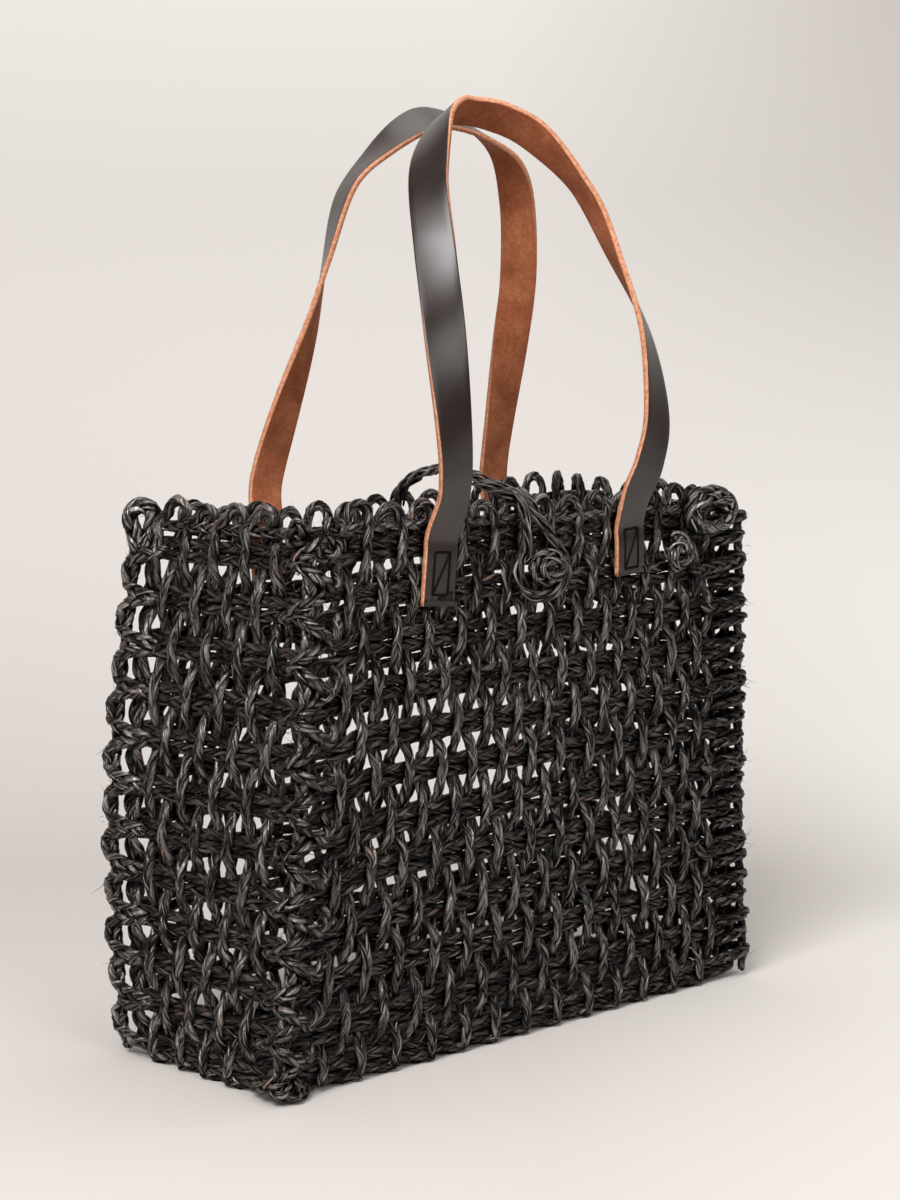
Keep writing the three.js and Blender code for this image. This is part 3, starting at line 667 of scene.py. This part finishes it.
# ---- Corner loop, coil and side knot ----
# Ends of the lacing cord are left as a loop over the back corner, and coiled flat on the front panel.
DIAGONAL = 0.7071
LOOP_SHIFT = [-3, 3, 0]
corner_top = corner_axis("back_left", RIM_Z)
loop_path = [(-3, -22), (-3.5, -12), (-5, -5), (-7, 1), (-7.2, 5.5), (-4.6, 9.6), (0.2, 11), (5, 8.8),
             (6.4, 4), (4.6, -2), (3, -10), (2, -22)]
loop_control = [corner_top + np.array([across * DIAGONAL, -across * DIAGONAL, rise - 4]) + LOOP_SHIFT
                for across, rise in loop_path]
loop = cord(loop_control, 13.4, 9.4, 44, 41, np.array([-DIAGONAL, -DIAGONAL, 0]))
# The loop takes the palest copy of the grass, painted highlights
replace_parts(grass_piece("corner_loop_cord", loop, material=painted_glint_grass), "corner_loop")
woven += loop


def on_front(x, z, out):
    """A point at the bag's own x and height, the given distance out of the front wall's middle."""
    start, end = corner_axis("front_left", z), corner_axis("front_right", z)
    y = start[1] + (end[1] - start[1]) * (x - start[0]) / (end[0] - start[0])
    return np.array([x, y - out, z])


COIL_STEPS = 12


def flat_coil(x, z, radii, thickness, turns, dome, rest):
    """The route of a cord coiled from the middle outward on the front wall, its middle raised by a dome."""
    control = []
    steps = int(turns * COIL_STEPS)
    for i in range(steps + 1):
        turn = i * math.tau / COIL_STEPS
        inward = (steps - i) / COIL_STEPS * thickness
        share = (radii[0] - inward) / radii[0]
        level = WALL_HALF + rest + dome * (1 - share * share)
        control.append(on_front(x + (radii[0] - inward) * math.cos(turn),
                                z + (radii[1] - inward) * math.sin(turn), level))
    return control


OUTWARD = np.array([0, -1.0, 0])
# The coil and the side knot take the palest copy of the grass, painted highlights
coil = cord(flat_coil(151, 316.5, (22.5, 14), 3.6, 1.7, 1.5, 3.9), 10.8, 7.4, 44, 42, OUTWARD)
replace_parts(grass_piece("corner_coil_cord", coil, material=painted_glint_grass), "corner_coil")
side_knot = cord(flat_coil(119, 291, (10.5, 10), 5.0, 1.4, 2.5, 3.2), 11.0, 6.8, 40, 43, OUTWARD)
side_knot += knot(on_front(119, 291, WALL_HALF + 3), OUTWARD, 3.3, 44)
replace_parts(grass_piece("side_knot_cord", side_knot, material=painted_glint_grass), "side_knot")
woven += coil + side_knot

# ---- Straps ----
# Each handle is one vegetable-tanned strap 24 mm wide: dark brown dressed grain outside, tan flesh side
# inside, raw orange-tan edges. Its ends are stitched flat to the panel and its width turns as it rises.
STRAP_WIDTH, STRAP_THICKNESS = 24, 3.5
HINGE_Z = 311
STRAP_TURNS = ((75, 340, 540), (53, 518, 576))
STRAPS = {
    "front": dict(side=-1, centre=-9, end=83.4, end_z=(271, 280), foot=81, foot_y=81.37, end_y=79.6, legs=(
        [(79, 88, 330), (82.5, 94.3, 350), (86.5, 96.1, 380), (84.7, 87.1, 430), (75.5, 70, 475),
         (64, 52.5, 517), (39.5, 34.7, 549.3), (18.7, 23.8, 561.2)],
        [(80, 88, 330), (84.5, 94.3, 350), (89, 96.1, 380), (88, 87.1, 430), (80, 70, 475),
         (69, 52.5, 517), (45, 34.7, 549.3), (21, 23.8, 561.2)]), top=(17, 563.5)),
    "back": dict(side=1, centre=18, end=103, end_z=(276, 276), foot=102.5, foot_y=81.96, end_y=80.4, legs=(
        [(101.5, 85, 330), (99.5, 83, 347), (95, 73.5, 380), (88.5, 57, 430), (84.5, 46, 470),
         (76, 36.5, 515), (55, 27.5, 541), (25, 25, 560.5)],
        [(101.5, 85, 330), (100.5, 83, 347), (97, 73.5, 380), (90, 57, 430), (85.5, 46, 470),
         (75.5, 37.4, 515), (56, 28.4, 542.8), (27.5, 25, 557)]), top=(25.7, 563.5)),
}

# Dressed leather grain: very dark brown and satin, with pores 0.7 mm apart, drawn coarser than the real
# ones so that they show, and faint clouds of wear 20 mm across. Pattern sizes are counts to the metre.
PORES, CLOUDS = 1500.0, 45.0
grain, grain_shader = new_material("dressed_leather_grain")
place = add_node(grain, "ShaderNodeTexCoord").outputs["Object"]
pores = add_node(grain, "ShaderNodeTexNoise", {"Vector": place, "Scale": PORES, "Detail": 3.0})
clouds = add_node(grain, "ShaderNodeTexNoise", {"Vector": place, "Scale": CLOUDS,
                                               "Detail": 4.0}).outputs["Fac"]
shade = add_node(grain, "ShaderNodeValToRGB", {"Fac": clouds}, [(0.3, "1e110c"), (0.7, "2b1913")])
gloss = add_node(grain, "ShaderNodeMapRange", {"Value": clouds, 1: 0.3, 2: 0.7, 3: 0.3, 4: 0.36})
relief = add_node(grain, "ShaderNodeBump", {"Height": pores.outputs["Fac"], "Strength": 0.25,
                                           "Distance": 0.0001})
connect(grain, grain_shader, {"Base Color": shade.outputs["Color"], "Roughness": gloss.outputs[0],
                              "Normal": relief.outputs["Normal"], "Specular IOR Level": 0.7})

# Flesh side: tan suede with a short matt nap, 2 mm tufts of it and mottling 17 mm across.
TUFTS, MOTTLES = 420.0, 60.0
flesh, flesh_shader = new_material("tan_flesh_side")
place = add_node(flesh, "ShaderNodeTexCoord").outputs["Object"]
nap = add_node(flesh, "ShaderNodeTexNoise", {"Vector": place, "Scale": TUFTS, "Detail": 6.0,
                                            "Roughness": 0.7}).outputs["Fac"]
mottle = add_node(flesh, "ShaderNodeTexNoise", {"Vector": place, "Scale": MOTTLES, "Detail": 4.0})
both = add_node(flesh, "ShaderNodeMath", {0: nap, 1: mottle.outputs["Fac"]}, operation="ADD")
half = add_node(flesh, "ShaderNodeMath", {0: both.outputs[0], 1: 0.5}, operation="MULTIPLY")
shade = add_node(flesh, "ShaderNodeValToRGB", {"Fac": half.outputs[0]},
                 [(0.35, "9c5734"), (0.5, "be6e47"), (0.65, "d98a5e")])
relief = add_node(flesh, "ShaderNodeBump", {"Height": nap, "Strength": 0.5, "Distance": 0.0003})
connect(flesh, flesh_shader, {"Base Color": shade.outputs["Color"], "Normal": relief.outputs["Normal"],
                              "Roughness": 0.85})

# Raw cut edge: layered orange-tan fibres, in bundles 2 mm across.
BUNDLES = 500.0
raw_edge, edge_shader = new_material("raw_leather_edge")
place = add_node(raw_edge, "ShaderNodeTexCoord").outputs["Object"]
layers = add_node(raw_edge, "ShaderNodeTexNoise", {"Vector": place, "Scale": BUNDLES, "Detail": 4.0})
shade = add_node(raw_edge, "ShaderNodeValToRGB", {"Fac": layers.outputs["Fac"]},
                 [(0.35, "d0835a"), (0.65, "f5b48f")])
connect(raw_edge, edge_shader, {"Base Color": shade.outputs["Color"], "Roughness": 0.75})

STRAP_RING_SPACING = 3


def strap_route(strap):
    """Points, width and outer-face directions along a strap, from one stitched end to the other."""
    side, centre = strap["side"], strap["centre"]
    rising = [[(strap["end"], strap["end_y"], end_z), (strap["foot"] + 0.8, strap["foot_y"] - 0.4, 300),
               (strap["foot"], strap["foot_y"], HINGE_Z)] + leg
              for end_z, leg in zip(strap["end_z"], strap["legs"])]
    control = [(centre - s, side * y, z) for s, y, z in rising[0]]
    control.append((centre, side * strap["top"][0], strap["top"][1]))
    control += [(centre + s, side * y, z) for s, y, z in reversed(rising[1])]
    points = smooth_route(control, STRAP_RING_SPACING)[0]
    tangent = unit(np.gradient(points, axis=0))
    out_of_arch = unit(np.cross(tangent, [0, -1, 0]))
    through = np.cross(tangent, out_of_arch)
    turned = sum(math.radians(angle) * smoothstep(points[:, 2], low, high)
                 for angle, low, high in STRAP_TURNS)
    twist = -side * turned
    across = out_of_arch * np.cos(twist)[:, None] - through * np.sin(twist)[:, None]
    return points, across, np.cross(tangent, across) * side


# The strap starts as a slab 1 long, 1 wide and 1 thick: how far from its middle its faces and edges start
EDGE_WITHIN, FACE_BEYOND = 0.4, 0.46


for name, strap in STRAPS.items():
    points, across, outer = strap_route(strap)
    shape = bmesh.new()
    bmesh.ops.create_grid(shape, x_segments=len(points) - 1, y_segments=6, size=0.5)
    bmesh.ops.solidify(shape, geom=shape.faces[:], thickness=1.0)
    heights = [v.co.z for v in shape.verts]
    middle = (max(heights) + min(heights)) / 2
    bmesh.ops.recalc_face_normals(shape, faces=shape.faces)
    for face in shape.faces:
        centre_z = face.calc_center_median().z - middle
        face.material_index = 2 if abs(centre_z) < EDGE_WITHIN else (0 if centre_z > 0 else 1)
        face.smooth = True
    rims = [e for e in shape.edges if {f.material_index for f in e.link_faces} in ({0, 2}, {1, 2})]
    for v in shape.verts:
        v.co.z -= middle
    bmesh.ops.bevel(shape, geom=rims, offset=0.03, offset_type="OFFSET", affect="EDGES", segments=1,
                    profile=0.5, material=-1)
    for face in shape.faces:
        if face.calc_center_median().z > FACE_BEYOND:
            face.material_index = 0
    for v in shape.verts:
        at = min(max((v.co.x + 0.5) * (len(points) - 1), 0), len(points) - 1)
        low = min(int(at), len(points) - 2)
        mix = at - low
        spot = points[low] * (1 - mix) + points[low + 1] * mix
        wide = across[low] * (1 - mix) + across[low + 1] * mix
        face = outer[low] * (1 - mix) + outer[low + 1] * mix
        v.co = (spot + wide * v.co.y * STRAP_WIDTH + face * v.co.z * STRAP_THICKNESS) * MM
    bmesh.ops.recalc_face_normals(shape, faces=shape.faces)
    mesh = bpy.data.meshes.new(name + "_strap")
    shape.to_mesh(mesh)
    shape.free()
    for material in (grain, flesh, raw_edge):
        mesh.materials.append(material)
    piece = new_piece(name + "_strap", mesh)
    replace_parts(piece, name + "_handle", name + "_left_strap_end", name + "_right_strap_end")
    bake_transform(piece)

# ---- Button and closure ----
# A cord coiled into a rosette is the button. The closure is a hank of thin cords tied at the back rim,
# laid over the mouth; at the front it parts and makes the eye round the button.
button = cord(flat_coil(-5, 289.4, (17, 12.8), 5.4, 2.2, 7.5, 3.2), 7.6, 5.6, 40, 51, OUTWARD)
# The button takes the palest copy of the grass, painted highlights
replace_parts(grass_piece("button_coil", button, material=painted_glint_grass), "rosette_button")
closure_path = [(21, 77, 317), (20.5, 74, 326), (19, 64, 334.5), (14, 45, 341), (4, 20, 344.5), (-8, -2, 345),
                (-18, -28, 343), (-25, -52, 338.5), (-28, -70, 335), (-28, -82, 333.2)]
# Where the hank's four cords lie beside each other, and how far they lie above and below its middle
HANK_OFFSETS, HANK_RISE = (-4.4, -1.5, 1.5, 4.4), 1.1
closure = []
for k, offset in enumerate(HANK_OFFSETS):
    rise = HANK_RISE if k % 2 else -HANK_RISE
    control = [(x + offset, y, z + rise) for x, y, z in closure_path]
    closure += cord(control, 5.4, 4.8, 42, 70 + k, UPWARD, 2, settles=False)
# The eye's two cords: down from the hank to the button, round it at its middle and half sizes, and up again
EYE_DOWN = ((-31, 336.5, 6.5), (-30.5, 333, 11), (-28, 326, 12.5), (-25.5, 317, 12.5))
EYE_UP = ((-1, 306, 11.5), (-11, 315, 12.5), (-20, 325, 12.5), (-26, 333, 11), (-26.5, 336.5, 6.5))
EYE_MIDDLE, EYE_HALF = (-9, 287.3), (20.5, 15.8)
for k, grow in enumerate((-1.5, 1.5)):
    control = [on_front(x - grow, z, out) for x, z, out in EYE_DOWN]
    for angle in range(130, 391, 20):
        turn = math.radians(angle)
        control.append(on_front(EYE_MIDDLE[0] + (EYE_HALF[0] + grow) * math.cos(turn),
                                EYE_MIDDLE[1] + (EYE_HALF[1] + grow) * math.sin(turn), 10.5 + 0.5 * k))
    control += [on_front(x + grow, z, out) for x, z, out in EYE_UP]
    closure += cord(control, 5.6, 4.6, 42, 80 + k, OUTWARD, 2, settles=False)
# The closure takes the palest copy of the grass, painted highlights
hank = grass_piece("closure_hank", closure, None, painted_glint_grass)
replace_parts(hank, "closure_cord", "closure_eye")
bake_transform(hank)

# ---- Loose fibres ----
# Cut ends and broken fibres of the dried grass stand off the cords all over, most at the knotted corner
# and round the rim. Each is a thin tapered hair with a curl.
loose, loose_shader = new_material("loose_grass_fibre")
place = add_node(loose, "ShaderNodeTexCoord").outputs["Object"]
patches = add_node(loose, "ShaderNodeTexNoise", {"Vector": place, "Scale": 60.0})
shade = add_node(loose, "ShaderNodeValToRGB", {"Fac": patches.outputs["Fac"]},
                 [(0.35, "1c1714"), (0.6, "40342d"), (0.75, "7b6656")])
connect(loose, loose_shader, {"Base Color": shade.outputs["Color"], "Roughness": 0.4})
HAIR_POINTS = 7


def loose_fibres(name, roots, seed):
    """Hairs that leave the weave at roots, each a (point, direction, length, radius) in millimetres."""
    dice = np.random.default_rng(seed)
    curve = bpy.data.curves.new(name, "CURVE")
    curve.dimensions = "3D"
    curve.bevel_depth = MM
    curve.bevel_resolution = 0
    curve.use_fill_caps = True
    for root, direction, length, radius in roots:
        spline = curve.splines.new("POLY")
        spline.points.add(HAIR_POINTS - 1)
        bend = unit(dice.normal(size=3)) * dice.uniform(0.2, 1.1)
        spot, heading = np.array(root, float), unit(np.array(direction, float))
        for i in range(HAIR_POINTS):
            spline.points[i].co = (*(spot * MM), 1)
            spline.points[i].radius = radius * (1 - 0.11 * i)
            heading = unit(heading + bend / (HAIR_POINTS - 1) + dice.normal(size=3) * 0.06)
            spot = spot + heading * length / (HAIR_POINTS - 1)
            spot[2] = max(spot[2], 0.4)
    mesh = curve_mesh(curve)
    mesh.materials.append(loose)
    mesh.shade_smooth()
    piece = new_piece(name, mesh)
    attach(piece, "bag")


WALL_HAIRS, TUFTS_AT_CORNER, HAIRS_IN_TUFT = 620, 60, 4
# Corners with more loose ends: their heights, and the hairs at each
FRAYED = (("back_left", (328, 322, 300, 140), 5), ("front_right", (318, 292, 150), 2),
          ("front_left", (324, 318, 12), 5))
dice = np.random.default_rng(900)
roots = []
for _ in range(WALL_HAIRS):
    points, radii, _flat = woven[dice.integers(len(woven))]
    i = dice.integers(2, len(points) - 3)
    away = unit(points[i] * [1, 1, 0]) + dice.normal(size=3) * 0.5
    roots.append((points[i] + unit(away) * radii[i] * 0.8, away * 0.7 + unit(points[i + 2] - points[i]),
                  dice.uniform(4, 12), dice.uniform(0.12, 0.22)))
loose_fibres("loose_fibres_walls", roots, 901)
roots = []
for _ in range(TUFTS_AT_CORNER):
    z = dice.uniform(8, 325)
    spot = near_corner("front_left", dice.integers(2), dice.uniform(0, 12), z, 6)
    for _ in range(HAIRS_IN_TUFT):
        root = spot[:3] + dice.normal(size=3)
        away = spot[3:] + np.r_[CORNER_SIGNS["front_left"], 0] * 0.5 + dice.normal(size=3) * 0.8
        roots.append((root, away, dice.uniform(3, 10), dice.uniform(0.15, 0.3)))
for corner, heights, hairs in FRAYED:
    for z in heights:
        spot = near_corner(corner, 2, 0, z, 7)
        for _ in range(hairs):
            roots.append((spot[:3] + dice.normal(size=3) * 2, spot[3:] + dice.normal(size=3) * 0.8,
                          dice.uniform(2, 6), dice.uniform(0.12, 0.22)))
loose_fibres("loose_fibres_corners", roots, 902)

# ---- Stitching ----
# Each strap end is sewn with a box of waxed black thread and one diagonal, pulled down into the leather.
thread, thread_shader = new_material("waxed_thread")
place = add_node(thread, "ShaderNodeTexCoord").outputs["Object"]
plies = add_node(thread, "ShaderNodeTexNoise", {"Vector": place, "Scale": 1800.0, "Detail": 2.0})
shade = add_node(thread, "ShaderNodeValToRGB", {"Fac": plies.outputs["Fac"]},
                 [(0.35, "040404"), (0.65, "151211")])
connect(thread, thread_shader, {"Base Color": shade.outputs["Color"], "Roughness": 0.7,
                                "Specular IOR Level": 0.1})
STITCH_BOX = [(-6, 0), (6, 0), (6, 24.6), (-6, 24.6)]
# How far the box starts above the left and the right strap end
BOX_ABOVE_END = (6.5, 4)
STITCH_LENGTH, THREAD_RADIUS = 2.6, 0.85
# One stitch, as (share of its length, how far it stands out of the leather)
STITCH = ((0.04, -0.5), (0.25, -0.1), (0.75, -0.1), (0.96, -0.5))
for name, strap in STRAPS.items():
    for number, (leg, hand) in enumerate(((-1, "left"), (1, "right"))):
        side = strap["side"]
        low = np.array([strap["centre"] + leg * strap["end"], side * strap["end_y"], strap["end_z"][number]])
        high = np.array([strap["centre"] + leg * strap["foot"], side * strap["foot_y"], HINGE_Z])
        upward = unit(high - low)
        low = low + upward * BOX_ABOVE_END[number]
        outward = np.array([0, side * 1.0, 0])
        across = np.cross(upward, outward)
        runs = [(STITCH_BOX[i], STITCH_BOX[(i + 1) % 4]) for i in range(4)] + [(STITCH_BOX[0], STITCH_BOX[2])]
        curve = bpy.data.curves.new(name + hand, "CURVE")
        curve.dimensions = "3D"
        curve.bevel_depth = THREAD_RADIUS * MM
        curve.bevel_resolution = 2
        curve.use_fill_caps = True
        for start, end in runs:
            start, end = np.array(start), np.array(end)
            count = round(np.linalg.norm(end - start) / STITCH_LENGTH)
            for i in range(count):
                spline = curve.splines.new("POLY")
                spline.points.add(len(STITCH) - 1)
                for point, (share, sink) in zip(spline.points, STITCH):
                    x, z = start + (end - start) * (i + share) / count
                    spot = low + across * x + upward * z + outward * (STRAP_THICKNESS / 2 + 0.1 + sink)
                    point.co = (*(spot * MM), 1)
        mesh = curve_mesh(curve)
        mesh.materials.append(thread)
        mesh.shade_smooth()
        piece = new_piece(f"{name}_{hand}_box_stitch", mesh)
        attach(piece, "bag")
        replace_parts(piece, f"{name}_{hand}_stitch")

# ---- Floor, light and camera ----
# A pale seamless paper sweep, a soft key lamp to the left, weak fills and a low camera at the near corner.
VIEW = math.radians(44.18)
forward = np.array([math.sin(VIEW), math.cos(VIEW), 0])
rightward = np.array([math.cos(VIEW), -math.sin(VIEW), 0])
# The sheet, in metres: where it starts, where it begins to rise, the radius of its bend, its top and width
SWEEP_START, SWEEP_BEND, SWEEP_RADIUS, SWEEP_TOP, SWEEP_WIDTH = -6.0, 0.42, 0.6, 4.0, 10
sweep = bmesh.new()
profile = [(SWEEP_START, 0.0), (SWEEP_BEND, 0.0)]
profile += [(SWEEP_BEND + SWEEP_RADIUS * math.sin(a), SWEEP_RADIUS - SWEEP_RADIUS * math.cos(a))
            for a in np.radians(np.arange(6, 90, 6))]
profile += [(SWEEP_BEND + SWEEP_RADIUS, SWEEP_RADIUS), (SWEEP_BEND + SWEEP_RADIUS, SWEEP_TOP)]
left_side = rightward * (SWEEP_WIDTH / 2)
spine = [sweep.verts.new(forward * d + np.array([0, 0, z]) - left_side) for d, z in profile]
edges = [sweep.edges.new(pair) for pair in zip(spine, spine[1:])]
made = bmesh.ops.extrude_edge_only(sweep, edges=edges)
far_side = [v for v in made["geom"] if isinstance(v, bmesh.types.BMVert)]
bmesh.ops.translate(sweep, vec=tuple(rightward * SWEEP_WIDTH), verts=far_side)
bmesh.ops.recalc_face_normals(sweep, faces=sweep.faces)
mesh = bpy.data.meshes.new("paper_sweep")
sweep.to_mesh(mesh)
sweep.free()
mesh.shade_smooth()
paper, paper_shader = new_material("matt_paper")
seen = add_node(paper, "ShaderNodeLightPath").outputs
direct = add_node(paper, "ShaderNodeMath", {0: seen["Is Camera Ray"], 1: seen["Is Glossy Ray"]},
                  operation="ADD")
direct = add_node(paper, "ShaderNodeMath", {0: direct.outputs[0], 1: seen["Is Transmission Ray"]},
                  operation="ADD", use_clamp=True)
# Painted light and shade: the sheet's foot is paler to the right of the bag, lifting the bag's shadow there,
# and its upright part is darker there, as in the photo
place = add_node(paper, "ShaderNodeTexCoord").outputs["Object"]
height = add_node(paper, "ShaderNodeSeparateXYZ", {0: place}).outputs["Z"]
to_right = add_node(paper, "ShaderNodeVectorMath", {0: place, 1: tuple(rightward)},
                    operation="DOT_PRODUCT").outputs["Value"]
floor_light_share = add_node(paper, "ShaderNodeMapRange", {"Value": to_right, 1: 0.05, 2: 0.5}).outputs[0]
wall_shade_share = add_node(paper, "ShaderNodeMapRange", {"Value": to_right, 1: 0.05, 2: 0.45}).outputs[0]
rise = add_node(paper, "ShaderNodeMapRange", {"Value": height, 1: 0.02, 2: 0.8}).outputs[0]
floor_tone = add_node(paper, "ShaderNodeMix", {0: floor_light_share, 6: tone("e4ddd8"), 7: tone("fdf8f3")},
                      data_type="RGBA")
wall_tone = add_node(paper, "ShaderNodeMix", {0: wall_shade_share, 6: tone("faf5f1"), 7: tone("dcd6d2")},
                     data_type="RGBA")
pale = add_node(paper, "ShaderNodeMix", {0: rise, 6: floor_tone.outputs[2], 7: wall_tone.outputs[2]},
                data_type="RGBA")
# What the camera doesn't see directly is a mid grey, so that little light bounces up from the paper
paper_tone = add_node(paper, "ShaderNodeMix", {0: direct.outputs[0], 6: tone("8c8681"), 7: pale.outputs[2]},
                      data_type="RGBA")
connect(paper, paper_shader, {"Base Color": paper_tone.outputs[2], "Roughness": 0.95,
                              "Specular IOR Level": 0.1})
mesh.materials.append(paper)
backdrop = new_piece("paper_sweep", mesh)

world = bpy.data.worlds.new("studio")
bpy.context.scene.world = world
world.use_nodes = True
connect(world, world.node_tree.nodes["Background"], {"Color": tone("f1ebe7"), "Strength": 0.15})


def soft_lamp(name, place, size, watts, target=(0, 0, 0.2)):
    """An area lamp at a place, in metres, that faces a target."""
    lamp = bpy.data.lights.new(name, "AREA")
    lamp.shape = "RECTANGLE"
    lamp.size, lamp.size_y = size
    lamp.energy = watts
    lamp_object = bpy.data.objects.new(name, lamp)
    direction = np.array(target) - np.array(place)
    lamp_object.rotation_euler = Vector(direction).to_track_quat("-Z", "Y").to_euler()
    lamp_object.location = place
    bpy.context.scene.collection.objects.link(lamp_object)


soft_lamp("key_softbox", (-1.97, -0.9, 2.05), (1.3, 1.3), 68)
soft_lamp("top_softbox", (0.5, 0.1, 2.6), (2.0, 2.0), 26)
soft_lamp("front_fill", (-0.4, -2.6, 1.3), (1.4, 1.4), 19)
soft_lamp("right_fill", (1.5, 0.9, 1.6), (1.2, 1.2), 15, (0.35, -0.1, 0))

# The focal length in pixels of the photo's 1200 that the camera's fit to the bag gave, and how far it dips
FOCAL_PIXELS, PHOTO_HEIGHT, DIP = 2307.2, 1200, 5.36
camera = bpy.data.cameras.new("camera")
camera.sensor_fit = "VERTICAL"
camera.sensor_height = 36
camera.lens = FOCAL_PIXELS / PHOTO_HEIGHT * 36
camera_object = bpy.data.objects.new("camera", camera)
camera_object.location = (-1.0072, -1.0318, 0.3984)
camera_object.rotation_euler = (math.radians(90 - DIP), 0, -VIEW)
bpy.context.scene.collection.objects.link(camera_object)
bpy.context.scene.camera = camera_object
bpy.context.scene.view_settings.view_transform = "Standard"
